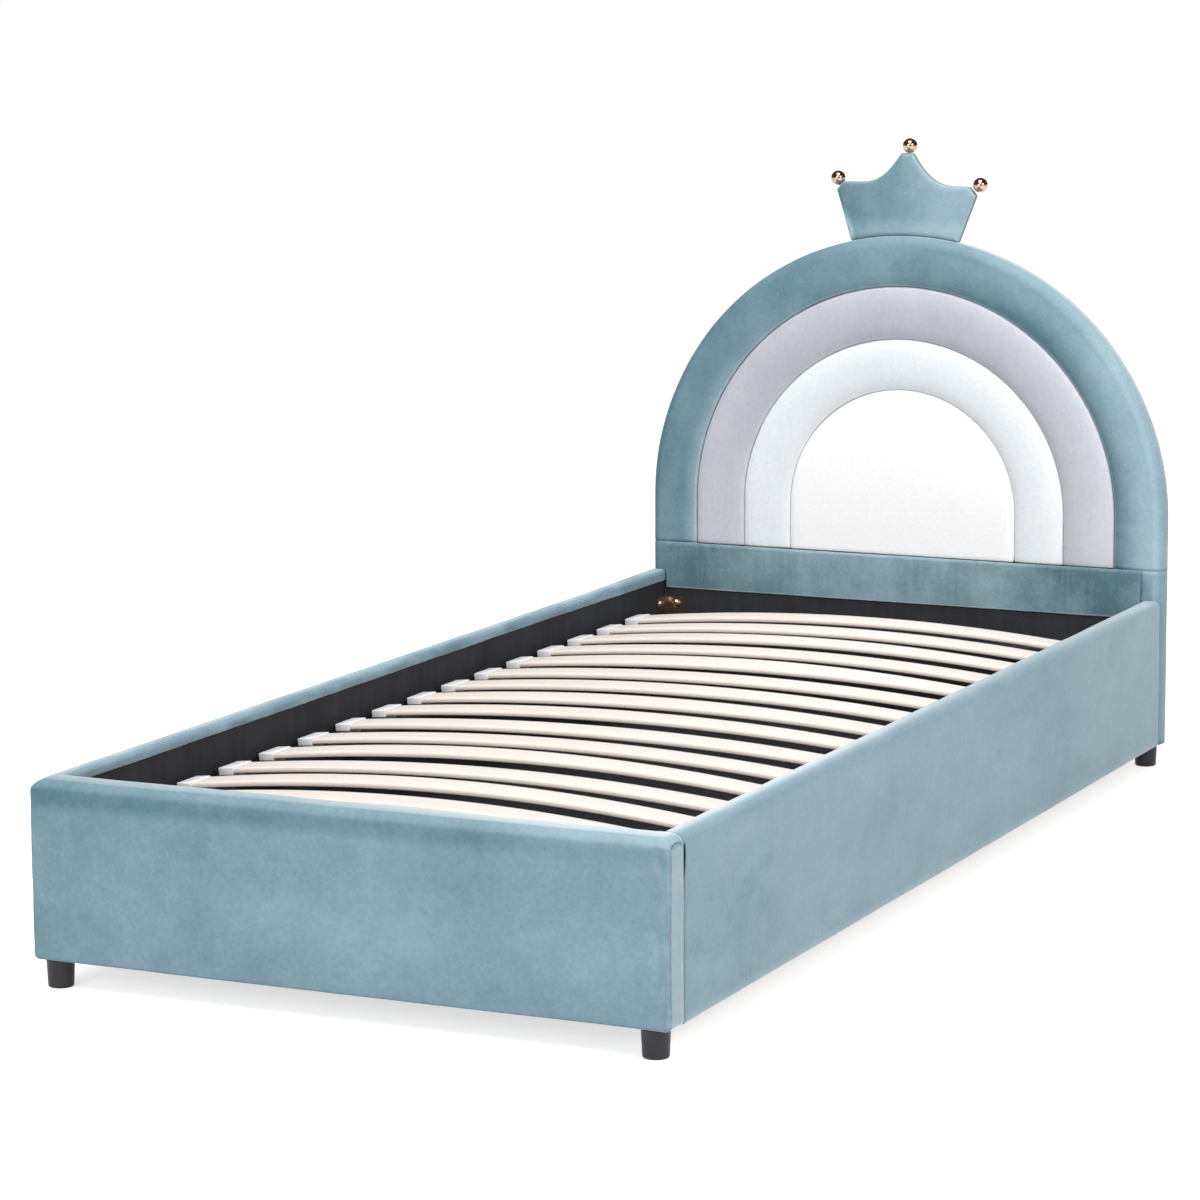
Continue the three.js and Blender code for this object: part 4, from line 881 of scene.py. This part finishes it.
def rail_cover(side, name):
    stations = END_STEPS + [9 + (RAIL_LENGTH - 18) * i / 170 for i in range(1, 170)]
    stations += [RAIL_LENGTH - s for s in reversed(END_STEPS)]
    marks = []
    for s in stations:
        y = RAIL_START + s
        seen, hidden = rail_outline(y)
        for i, (x, z, pull, fold) in enumerate(seen + hidden):
            dy = 0.0
            if i < len(seen):
                x, dy, z, fold = rail_end(x, z, fold, s)
            marks.append((side * x, y + dy, z, pull, fold))
    faces = rings_to_faces(len(stations), len(seen + hidden))

    # Crushed pile in patches; the inner lap and the left rail's top have levels of their own, and
    # the outer face is darker toward the bottom and lighter toward the head.
    def pile_and_light(co):
        crushed = ripple(co.y * 9, co.z * 60, side)
        crushed += 0.7 * ripple(co.x * 80, co.y * 26, co.z * 80)
        if side * co.x < (RAIL_INNER + 9) / 1000 and co.z > 0.25:
            return 0.45 + 0.28 * crushed
        if side < 0 and co.z > 0.27:
            return 0.54 + 0.28 * crushed
        drop = 0.05 * step_up(0.25, 0.06, co.z)
        along = 0.15 * step_up(0.4, 1.0, co.y) - 0.07 * step_up(-0.9, -0.3, co.y)
        return 0.46 + along - drop + 0.03 * crushed

    # Painted sheen: patchy on the left rail, strong near the foot on the right rail and fading
    # toward the head.
    def painted_sheen(co):
        if side < 0:
            return 0.42 + 0.3 * ripple(co.y * 13, 3.0, co.x * 40)
        return 1.1 - 0.65 * step_up(-0.7, 0.3, co.y)

    name, node = f"rail_velvet_{name}", f"rail_cover_{name}"
    soft_piece(name, node, "blue_velvet", marks, faces, 50, 0.8, 0.5, pile_and_light, (0.0, 0.08, painted_sheen))


SIDES = ((1, "right"), (-1, "left"))
for side, name in SIDES:
    rail_cover(side, name)

# Foot panel: one padded cover drawn over a lined board, sewn to a narrow strip down each side,
# so a puckered seam runs down both front corners. It turns in round the board's inner face.
FOOT_BACK = 45
FOOT_HIGH_ROUND = 17.0
FOOT_LOW_ROUND = 8.0
FOOT_SIDE_EDGE = 4.0
FOOT_MIDDLE = (PANEL_LOW + PANEL_HIGH) / 2
FOOT_DEPTHS = [0, 1.1, 2.2, 3.2, 4.2, 5.2, 6.4, 8.2, 10.5, 14, 19, 26, 33, 38, 40.5, 42, 43, 44]


def foot_steps(low, high, count):
    """Steps from low to high, close together near both ends and nowhere under 1 mm apart."""
    near = (1.2, 2.4, 3.8, 5.2, 6.8, 8.6, 10.6, 13, 16, 20)
    values = {low + (high - low) * i / count for i in range(count + 1)}
    values = sorted(values | {low + d for d in near} | {high - d for d in near})
    kept = [values[0]]
    for v in values[1:-1]:
        if v - kept[-1] > 1.0 and values[-1] - v > 1.0:
            kept.append(v)
    return kept + [values[-1]]


def round_off(rim, depth, radius):
    """How far a point moves in from the rim, and its new depth, on an edge of that radius."""
    if rim >= radius or depth >= radius:
        return 0.0, depth
    across, deep = radius - rim, radius - depth
    scale = max(across, deep) / hypot(across, deep)
    return radius - across * scale - rim, radius - deep * scale


def foot_point(u, w, y):
    """Rounds the block's corners in the front view, then its front and back edges."""
    on_top = w > FOOT_MIDDLE
    rim_u, rim_w = HALF - abs(u), min(PANEL_HIGH - w, w - PANEL_LOW)
    rim, side_only = min(rim_u, rim_w), rim_u < rim_w
    front_edge = 14.0 if on_top else 5.0
    radius = FOOT_SIDE_EDGE if side_only else front_edge
    blend_zone = abs(rim_u - rim_w)
    if blend_zone < 12:
        mean = (FOOT_SIDE_EDGE + front_edge) / 2
        radius = mean + (radius - mean) * blend_zone / 12
    shrink, y_new = round_off(rim, y, radius)
    if y > FOOT_BACK / 2:
        edge_back = 4.0 if abs(u) < RAIL_INNER - 6 else 1.2
        shrink, depth = round_off(rim, FOOT_BACK - y, edge_back)
        y_new = FOOT_BACK - depth
    reach_u = HALF - (FOOT_HIGH_ROUND if on_top else FOOT_LOW_ROUND)
    x, z = u, w
    cx = max(-reach_u, min(reach_u, x))
    cz = max(PANEL_LOW + FOOT_LOW_ROUND, min(PANEL_HIGH - FOOT_HIGH_ROUND, z))
    dx, dz = x - cx, z - cz
    reach = hypot(dx, dz)
    if reach > 1e-6:
        scale = max(abs(dx), abs(dz)) / reach
        x, z = cx + dx * scale, cz + dz * scale
    if shrink > 0:
        away = Vector((x - cx, z - cz))
        if away.length > 1e-6:
            away.normalize()
            x, z = x - away.x * shrink, z - away.y * shrink
        elif side_only:
            x -= copysign(shrink, u)
        else:
            z -= copysign(shrink, w - FOOT_MIDDLE)
    high = step_up(PANEL_HIGH - 26, PANEL_HIGH, w)
    z -= 3.2 * high * high * max(0.0, 1 - y_new / 38) ** 2
    seam = foot_seam(u, w, y)
    if seam > 0:
        pucker = ripple(z / 13, 1.7 * copysign(1, u), 0.3)
        x -= copysign((0.7 + 0.6 * pucker) * seam, u)
    dimple = step_up(30, 4, rim_u) * step_up(16, 2, y)
    if dimple > 0 and PANEL_LOW + 12 < w < PANEL_HIGH - 12:
        y_new += dimple * (0.35 + 0.9 * max(0.0, ripple(u / 16, z / 12, 4.4)))
    return x, y_new, z


def foot_seam(u, w, y):
    """1 on the line where the side strip is sewn: up the front corner and over the strip's top."""
    if HALF - abs(u) > 0.6:
        return 0.0
    over = PANEL_HIGH - 15 + 6.5 * sin(pi * max(0.0, min(1.0, (y - 4) / 38)))
    if w < over - 1:
        return bell(y - 4.2, 1.3)
    return bell(w - over, 1.3) if 4 < y < 43 else 0.0


def foot_cover():
    us, ws = foot_steps(-HALF, HALF, 120), foot_steps(PANEL_LOW, PANEL_HIGH, 64)
    marks, faces, index = [], [], {}

    def vertex(u, w, y):
        key = (round(u, 3), round(w, 3), round(y, 3))
        if key not in index:
            index[key] = len(marks)
            on_side = HALF - abs(u) < 0.6
            beside = 0.25 * bell(y - 43.5, 2.0) if on_side else 0.0
            strip = 0.16 if on_side and 5 < y < 42 and w < PANEL_HIGH - 14 else 0.0
            # Painted shade in the seam down the front corners and over the side strip's top.
            fold = foot_seam(u, w, y) * (0.75 + 0.9 * ripple(w / 9, 5.0, u / 40))
            marks.append((*foot_point(u, w, y), max(beside, strip), max(0.0, fold)))
        return index[key]

    for u, next_u in zip(us, us[1:]):
        for w, next_w in zip(ws, ws[1:]):
            quad = [(u, w), (next_u, w), (next_u, next_w), (u, next_w)]
            faces.append(tuple(vertex(*corner, 0) for corner in quad))
            middle_u, middle_w = (u + next_u) / 2, (w + next_w) / 2
            if min(HALF - abs(middle_u), PANEL_HIGH - middle_w, middle_w - PANEL_LOW) < 22:
                faces.append(tuple(vertex(*corner, FOOT_BACK) for corner in reversed(quad)))
    border = [(u, ws[0]) for u in us] + [(us[-1], w) for w in ws[1:]]
    border += [(u, ws[-1]) for u in reversed(us[:-1])] + [(us[0], w) for w in reversed(ws[1:-1])]
    depths = FOOT_DEPTHS + [FOOT_BACK]
    for start, end in zip(border, border[1:] + border[:1]):
        for y, next_y in zip(depths, depths[1:]):
            quad = [(*start, y), (*end, y), (*end, next_y), (*start, next_y)]
            faces.append(tuple(vertex(*corner) for corner in quad))
    return marks, faces


def foot_pile_and_light(co):
    """Painted shade at the left and in a band below the top's edge, painted light on top, a painted
    highlight along the top at the right, darker low down, and worn at the right edge.
    """
    if abs(co.x) > 0.48 and co.y > -LENGTH / 2 + 0.004:
        return 0.5
    left = 0.13 * step_up(-0.1, -0.46, co.x) * step_up(0.05, 0.12, co.z)
    right = 0.3 * step_up(0.1, 0.46, co.x) * step_up(0.274, 0.29, co.z)
    right -= 0.03 * step_up(0.3, 0.45, co.x)
    top = 0.24 * step_up(0.25, 0.268, co.z) * (1 - 0.8 * step_up(0.276, 0.292, co.z))
    top = (top + 0.1 * step_up(0.14, 0.23, co.z)) * (1 - 0.8 * step_up(0.1, 0.44, co.x))
    worn = step_up(0.44, 0.475, co.x) * 0.2 * ripple(co.x * 90, 1.0, co.z * 45)
    return 0.5 - left + right - top - 0.14 * step_up(0.14, 0.05, co.z) + worn


# Painted sheen, more toward the right and most along the top at the right.
def foot_painted_sheen(co):
    across = step_up(-0.2, 0.4, co.x)
    return 0.62 + 0.33 * across + 0.3 * across * step_up(0.27, 0.288, co.z)


soft_piece(
    "foot_velvet", "foot_cover", "blue_velvet", *foot_cover(), 60, 0.9, 0.5, foot_pile_and_light,
    (0.0, 0.1, foot_painted_sheen),
)

# Panel across the head of the box: a thin lined board with velvet drawn over its upper part,
# turned under at the lower edge and brushed downwards, so that it looks darker and streaked.
CROSS_FRONT = 2064
CROSS_HALF = 448
COVER_LOW = 263.3


def cross_cover():
    outline = [(3, COVER_LOW, 0, 0), (0.8, COVER_LOW, 0.3, 0), (0.1, COVER_LOW + 0.8, 0.4, 0)]
    outline += [(0, COVER_LOW + 2.0, 0.3, 0), (0, COVER_LOW + 3.4, 0, 0)]
    outline += [(0, COVER_LOW + 6 + 8 * i, 0, 0) for i in range(9)]
    outline += [(depth, z, 0, 0) for depth, z in arc(5, SEAM - 5, 5, 180, 90, 8)]
    # The last point carries painted shade in the back corner of the top edge, under the pads.
    outline += [(9, SEAM, 0, 0), (11.6, SEAM - 1.0, 0, 0.4)]
    outline += [(11.6, SEAM - 6, 0, 0), (3, SEAM - 6, 0, 0)]
    edge = [0, 0.6, 1.4, 2.4, 3.6, 5, 7.5]
    edge += [7.5 + (CROSS_HALF - 7.5) * i / 44 for i in range(1, 45)]
    xs = [d - CROSS_HALF for d in edge]
    xs += [-x for x in reversed(xs[:-1])]
    marks = []
    for x in xs:
        near = CROSS_HALF - abs(x)
        inset = 1.6 * (1 - sqrt(1 - (1 - min(1.0, near / 4.0)) ** 2))
        wave = 0.5 * ripple(x / 60, 2.2, 0)
        for depth, z, pull, fold in outline:
            depth += inset if depth < 5.5 else 0
            z += wave if z < COVER_LOW + 4 else 0
            pull += 0.05 * bell(near - 1.6, 1.2)
            marks.append((x, CROSS_FRONT + depth, z, pull, fold))
    return marks, rings_to_faces(len(xs), len(outline))


# Lighter in the middle, darker toward both ends, with streaks.
def cross_lighter_middle(co):
    return 0.09 + 0.47 * cos(co.x * 3.2) ** 2 + 0.2 * ripple(co.x * 14, 0.0, co.z * 22)


soft_piece(
    "cross_velvet", "cross_panel_cover", "blue_velvet", *cross_cover(), 50, 0.5, 0.3, cross_lighter_middle,
    (0.1, 0.1, 0.4), "brushed_blue_velvet",
)


# Linings: thin black cloth glued over the inner faces of the boards, a bare board behind the
# headboard's pads, and black cloth on its back. These keep the solids of the frame.
def lining(name, colour, lighter, scale, upright):
    material, tree = new_material(name)
    place = object_place(tree)
    felt = noise_of(tree, scale, 3, 0.65, place)
    patch = span(tree, noise_of(tree, 9, 3, 0.5, place), 0.3, 0.7, 0.5, 1)
    ribs = noise_of(tree, 1, 2, 0.5, scaled(tree, place, (60, 60, 5)))
    tone = math_node(tree, "MULTIPLY", span(tree, felt, 0.3, 0.7, 0.2, 1), patch)
    tone = math_node(tree, "ADD", tone, span(tree, ribs, 0.35, 0.65, -upright, upright), True)
    look = {"Base Color": mix(tree, tone, linear(*colour), linear(*lighter))}
    look |= {"Roughness": span(tree, felt, 0.3, 0.7, 0.95, 0.82), "Specular IOR Level": 0.2}
    surface(tree, look, felt, 0.5, 0.0005)
    return material


def paint(node, material):
    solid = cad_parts[node]
    solid.data.materials.clear()
    solid.data.materials.append(material)
    return solid


black_lining = lining("black_lining", (43, 43, 46), (64, 65, 70), 420, 0.1)
black_cloth = lining("black_backing_cloth", (30, 30, 32), (44, 44, 46), 620, 0.15)
chipboard = lining("chipboard", (168, 140, 102), (196, 170, 130), 130, 0.0)
for board in ("rail_board_left", "rail_board_right", "foot_board", "cross_panel_board",
              "floor_board_foot", "floor_board_head"):
    paint(board, black_lining)
paint("headboard_board", chipboard)
paint("headboard_back_cloth", black_cloth)
for side, name in SIDES:
    fold = [(442.9, 2071.5), (445, 2070.6), (447.5, 2069), (449.4, 2067), (450.3, 2064.8)]
    fold += [(450.4, 2075.5), (442.9, 2075.5)]
    points = [(side * x, y, z) for z in (70, 110, 165, 220, 262) for x, y in fold]
    build(f"lining_fold_{name}", points, rings_to_faces(5, 7), black_lining, "bed", "lined_board")

# Slats: birch layers glued over a curved mould, lacquered, with rounded edges that show the
# layers. Fifteen of them, bowed upwards, each with its ends in two white sleeves.
SLAT_HALF_LENGTH = 435.6
SLAT_END_Z = 226.7
SLAT_CAMBER = 25.2
SLAT_THICK = 8.0
SLAT_WIDE = 53.0
SLAT_EDGE = 2
SLAT_FIRST = 226.5
SLAT_LAST = 1890.5
SLAT_STEPS = 56
SLAT_RADIUS = (SLAT_HALF_LENGTH ** 2 + SLAT_CAMBER ** 2) / (2 * SLAT_CAMBER)
SLAT_TURN = asin(SLAT_HALF_LENGTH / SLAT_RADIUS)
SLAT_CENTRE_Z = SLAT_END_Z - SLAT_RADIUS * cos(SLAT_TURN)


def birch_material():
    material, tree = new_material("lacquered_birch")
    place = object_place(tree)
    grain = noise_of(tree, 4.2, 5, 0.62, scaled(tree, place, (1.6, 34, 60)))
    pores = noise_of(tree, 3.0, 2, 0.6, scaled(tree, place, (12, 420, 420)))
    flow = noise_of(tree, 1.0, 2, 0.5, scaled(tree, place, (2.2, 9, 9)))
    share = span(tree, grain, 0.3, 0.72, 0, 1)
    face = mix(tree, share, linear(250, 245, 240), linear(243, 233, 226))
    face = mix(tree, span(tree, flow, 0.45, 0.7, 0, 0.6), face, linear(247, 233, 223))
    face = mix(tree, span(tree, pores, 0.52, 0.7, 0, 0.3), face, linear(222, 202, 186))
    ply = point_value(tree, "ply")
    # Painted shade: the lower part of each slat's rounded edge is darker.
    under = span(tree, ply, -0.98, -0.6, 1, 0, True)
    edge = mix(tree, under, linear(251, 238, 228), linear(222, 198, 184))
    layers = math_node(tree, "SINE", math_node(tree, "MULTIPLY", ply, 15.7), 0)
    edge = mix(tree, span(tree, layers, 0.2, 1, 0, 0.14), edge, linear(214, 194, 176))
    look = {"Base Color": mix(tree, point_value(tree, "rim"), face, edge)}
    look |= {"Roughness": span(tree, grain, 0.3, 0.7, 0.36, 0.52), "Specular IOR Level": 0.25}
    surface(tree, look, pores, 0.15, 0.0003)
    return material


birch = birch_material()

# How each slat has settled under its own bend: its front and back edges, above their drawn place.
SETTLED = (
    (3.2, 5.3), (4.4, 6.3), (0.8, 1.9), (3.0, 5.1), (0.0, 1.1),
    (-2.1, 0.0), (0.1, 1.9), (-0.8, 2.9), (0.4, 2.5), (-0.6, 1.2),
    (-0.3, 6.0), (2.5, 3.9), (3.4, 5.1), (2.0, 4.0), (2.7, 4.6),
)


def end_rise(number):
    """The frame's sleeves stand a little higher from the middle of the bed to its head."""
    return 3.2 * step_up(4, 7, number)


def slat(number, y):
    half, straight = SLAT_THICK / 2, SLAT_WIDE / 2 - SLAT_EDGE
    section = arc(straight, 0, SLAT_EDGE, -90, 90, 8, half)
    section += [(straight - straight / 2 * i, half) for i in range(1, 4)]
    section += arc(-straight, 0, SLAT_EDGE, 90, 270, 8, half)
    section += [(straight / 2 * i - straight, -half) for i in range(1, 4)]
    front_up, back_up = SETTLED[number - 1]
    rise = end_rise(number)
    lift = (front_up + back_up) / 2 - rise
    points, ply, rim = [], [], []
    for share in (2 * k / SLAT_STEPS - 1 for k in range(SLAT_STEPS + 1)):
        turn, settle = SLAT_TURN * share, cos(pi / 2 * share)
        lean = (back_up - front_up) / SLAT_WIDE * settle
        for v, h in section:
            dv, dh = v * cos(lean) - h * sin(lean), v * sin(lean) + h * cos(lean)
            radius = SLAT_RADIUS + dh + lift * settle
            z = SLAT_CENTRE_Z + rise + radius * cos(turn)
            points.append((radius * sin(turn), y + dv, z))
            ply.append(h / half)
            rim.append(1.0 if abs(v) > SLAT_WIDE / 2 - 1.9 else 0.0)
    faces = rings_to_faces(SLAT_STEPS + 1, len(section))
    name, values = f"birch_slat_{number:02d}", {"ply": ply, "rim": rim}
    piece = build(name, points, faces, birch, "slat_frame", "birch", 50, 0.0, values)
    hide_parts(f"slat_{number:02d}")


slat_places = [SLAT_FIRST + (SLAT_LAST - SLAT_FIRST) * i / 14 for i in range(15)]
for number, y in enumerate(slat_places, 1):
    slat(number, y)

# Lifting frame: box tubes in black powder coat, with white moulded sleeves along both sides.
# The side tubes carry the lugs for the struts; the sleeves grip the ends of the slats.
black_coat = plain(
    "black_powder_coat", (34, 34, 36), (46, 46, 49), rough=(0.42, 0.6), patch=(14, 3, 0.5),
    bump=(0.3, 0.0003), grain=(700, 2, 0.6), rough_grain=True,
)
white_plastic = plain(
    "white_moulded_plastic", (253, 253, 255), (247, 248, 252), rough=(0.34, 0.48),
    patch=(40, 3, 0.5), bump=(0.05, 0.0002), more=LOW_GLOSS,
)
TUBE_IN = 412.5
TUBE_OUT = 437.5
TUBE_LOW = 185.0
TUBE_HIGH = 215.0
TUBE_HALF_WIDE = (TUBE_OUT - TUBE_IN) / 2
TUBE_HALF_HIGH = (TUBE_HIGH - TUBE_LOW) / 2
TUBE_WALL = 2
TUBE_ROUND = 3
TUBE_GAP = 0.3
FRAME_FOOT = 110.0
FRAME_HEAD = 2007.0
STRUT_HEAD = (1712.0, 170.0)
STRUT_X = 425.0


def box_points(xs, ys, zs):
    corners = [(x, y, z) for x in xs for y in ys for z in zs]
    faces = [(0, 1, 3, 2), (4, 6, 7, 5), (0, 4, 5, 1), (2, 3, 7, 6), (0, 2, 6, 4), (1, 5, 7, 3)]
    return corners, faces


def round_ring(half_wide, half_high, radius):
    ring = []
    for x, z, first in ((1, -1, -90), (1, 1, 0), (-1, 1, 90), (-1, -1, 180)):
        x, z = x * (half_wide - radius), z * (half_high - radius)
        ring += arc(x, z, radius, first, first + 90, 4)
    return ring


def box_tube(start, end, place):
    """A hollow tube: place(u, v, along) puts a point of its section at a place along it."""
    outline = round_ring(TUBE_HALF_WIDE, TUBE_HALF_HIGH, TUBE_ROUND)
    inner = (TUBE_HALF_WIDE - TUBE_WALL, TUBE_HALF_HIGH - TUBE_WALL, TUBE_ROUND - TUBE_WALL)
    section = outline + round_ring(*inner)
    points = [place(u, v, along) for along in (start, end) for u, v in section]
    n = len(outline)
    faces = []
    for i in range(n):
        j = (i + 1) % n
        faces.append((i, j, 2 * n + j, 2 * n + i))
        faces.append((n + j, n + i, 3 * n + i, 3 * n + j))
        faces.append((j, i, n + i, n + j))
        faces.append((2 * n + i, 2 * n + j, 3 * n + j, 3 * n + i))
    return points, faces


def joined(parts):
    points, faces = [], []
    for part_points, part_faces in parts:
        start = len(points)
        points += list(part_points)
        faces += [tuple(start + i for i in f) for f in part_faces]
    return points, faces


def lug(side):
    y, z = STRUT_HEAD
    clear = degrees(0.31)
    outline = [(y - 20, 203), (y - 20, TUBE_LOW), (y - 13, z - 4)]
    outline += arc(y, z, 13, 180 + clear, 360 - clear, 12)[1:-1]
    outline += [(y + 13, z - 4), (y + 20, TUBE_LOW), (y + 20, 203)]
    points = [(side * x, *p) for x in (TUBE_IN - 3.5, TUBE_IN) for p in outline]
    return points, rings_to_faces(2, len(outline))


def frame_side(side, name):
    middle = (TUBE_LOW + TUBE_HIGH) / 2
    centre = side * (TUBE_IN + TUBE_OUT) / 2
    tube = box_tube(FRAME_FOOT, FRAME_HEAD, lambda u, v, y: (centre + u, y, middle + v))
    shoulder = [(8, TUBE_IN - 2), (8, STRUT_X - 3.6), (7.4, STRUT_X - 3.3)]
    pin = [(4, TUBE_IN - 2), (4, STRUT_X + 3.3), (9.2, STRUT_X + 3.3), (10, STRUT_X + 3.8)]
    pin += [(10, STRUT_X + 5.3), (9.2, STRUT_X + 5.9), (4.5, STRUT_X + 5.9), (4, STRUT_X + 4.9)]
    turnings = [turned(profile, 32, (0, *STRUT_HEAD), (side, 0, 0)) for profile in (shoulder, pin)]
    points, faces = joined([tube, lug(side)] + turnings)
    piece = build(f"side_tube_{name}", points, faces, black_coat, "slat_frame", "black_steel")
    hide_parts(f"frame_side_{name}")


for side, name in SIDES:
    frame_side(side, name)


def sleeve(side, name, number, y):
    """A white sleeve over a slat's end: a rounded pocket on a foot, with ribs on its back."""
    tilt = SLAT_TURN * (1 - 1 / 12)
    mouth = -22.4
    rise = end_rise(number)
    rings = [(0.2, 0.3, 1), (mouth + 0.5, 0.3, 1), (mouth, 0.7, 1), (mouth, 1.2, 1.8)]
    rings += [(mouth + 0.4, 1.7, 1.8), (mouth + 1, 1.9, 1.8), (0.6, 1.9, 1.8)]
    rings += [(1.2, 1.6, 1.8), (1.6, 0.9, 1.8)]
    pocket = []
    for u, more, radius in rings:
        around = round_ring(SLAT_WIDE / 2 + more, SLAT_THICK / 2 + more, radius)
        for v, q in around:
            x = SLAT_HALF_LENGTH + u * cos(tilt) + q * sin(tilt)
            pocket.append((side * x, y + v, SLAT_END_Z + rise - u * sin(tilt) + q * cos(tilt)))
    foot_low, foot_high = TUBE_HIGH - 0.2, SLAT_END_Z + rise - 3
    blocks = [((417, 434), 0, 15)] + [((434, 436.6), v, 1.2) for v in (-13, 0, 13)]
    parts = [(pocket, rings_to_faces(len(rings), len(around)))]
    for xs, v, half in blocks:
        ys = (y + v - half, y + v + half)
        parts.append(box_points([side * x for x in xs], ys, (foot_low, foot_high)))
    points, faces = joined(parts)
    name = f"sleeve_{name}_{number:02d}"
    build(name, points, faces, white_plastic, "slat_frame", "black_steel", 35)


for side, name in SIDES:
    for number, y in enumerate(slat_places, 1):
        sleeve(side, name, number, y)

for end, y in (("foot", FRAME_FOOT), ("head", FRAME_HEAD - 2 * TUBE_HALF_WIDE)):
    points, faces = box_tube(
        TUBE_GAP - TUBE_IN,
        TUBE_IN - TUBE_GAP,
        lambda u, v, x: (x, y + TUBE_HALF_WIDE + u, (TUBE_LOW + TUBE_HIGH) / 2 + v),
    )
    name = f"cross_bar_{end}_tube"
    piece = build(name, points, faces, black_coat, "slat_frame", "black_steel")
    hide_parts(f"frame_{end}_tube")

# Legs: turned posts of black plastic with a soft sheen, screwed up into the corner blocks.
black_plastic = plain(
    "black_leg_plastic", (38, 38, 41), (50, 49, 53), rough=(0.4, 0.54), patch=(30, 3, 0.55),
    bump=(0.2, 0.0002), more=LOW_GLOSS, grain=(800, 2, 0.6),
)
LEG_X = 452.5
leg_profile = [(0.5, 0), (15.5, 0), (17.0, 0.5), (17.8, 1.5), (18.05, 3)]
leg_profile += [(18.1 + 1.5 * i / 6, 3 + 33 * i / 6) for i in range(1, 7)]
leg_profile += [(19.9, 36.8), (20.0, 37.6), (20.0, 39.4), (19.6, 39.7), (0.5, 39.7)]
for end, y in (("foot", 22.5), ("head", 2100.0)):
    for side, name in SIDES:
        points, faces = turned(leg_profile, 64, (side * LEG_X, y, 0), (0, 0, 1))
        piece = build(f"post_{end}_{name}", points, faces, black_plastic, "bed", "black_plastic")
        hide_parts(f"leg_{end}_{name}")

# Hardware: zinc-plated plates and angles, brass corner angles, and the gas struts with their
# painted cylinders and ground rods. They keep the solids of the frame, edges softened.
zinc, ground_steel, angle_brass = (
    plain(name, first, second, rough, (90, 4, 0.6), (0.02, 0.0002), METALLIC)
    for name, first, second, rough in (
        ("zinc_plate", (186, 188, 190), (168, 171, 175), (0.28, 0.42)),
        ("ground_steel", (206, 208, 210), (196, 198, 202), (0.12, 0.2)),
        ("angle_brass", (236, 214, 190), (222, 198, 172), (0.16, 0.26)),
    )
)
timber = plain(
    "planed_softwood", (214, 184, 140), (186, 150, 104), rough=(0.5, 0.68), patch=(3.5, 4, 0.6),
    bump=(0.2, 0.0004), stretch=(50, 2.2, 50),
)


def keep_solid(node, material, bevel_width):
    solid = paint(node, material)
    weld = solid.modifiers.new("weld", "WELD")
    weld.merge_threshold = 2e-5
    if bevel_width:
        bevel = solid.modifiers.new("edge", "BEVEL")
        bevel.width = bevel_width / 1000
        bevel.segments = 2
        bevel.limit_method = "ANGLE"
        bevel.angle_limit = radians(35)


for _, name in reversed(SIDES):
    keep_solid(f"lift_plate_{name}", zinc, 0.4)
    keep_solid(f"frame_rest_{name}", zinc, 0.4)
    keep_solid(f"crown_bar_{name}", zinc, 0.5)
    keep_solid(f"strut_cylinder_{name}", black_coat, 0)
    keep_solid(f"strut_rod_{name}", ground_steel, 0)
    keep_solid(f"floor_ledge_{name}", timber, 0.8)
    for end in ("foot", "head"):
        keep_solid(f"corner_angle_{end}_{name}", angle_brass, 0.4)
keep_solid("floor_beam", timber, 0.8)
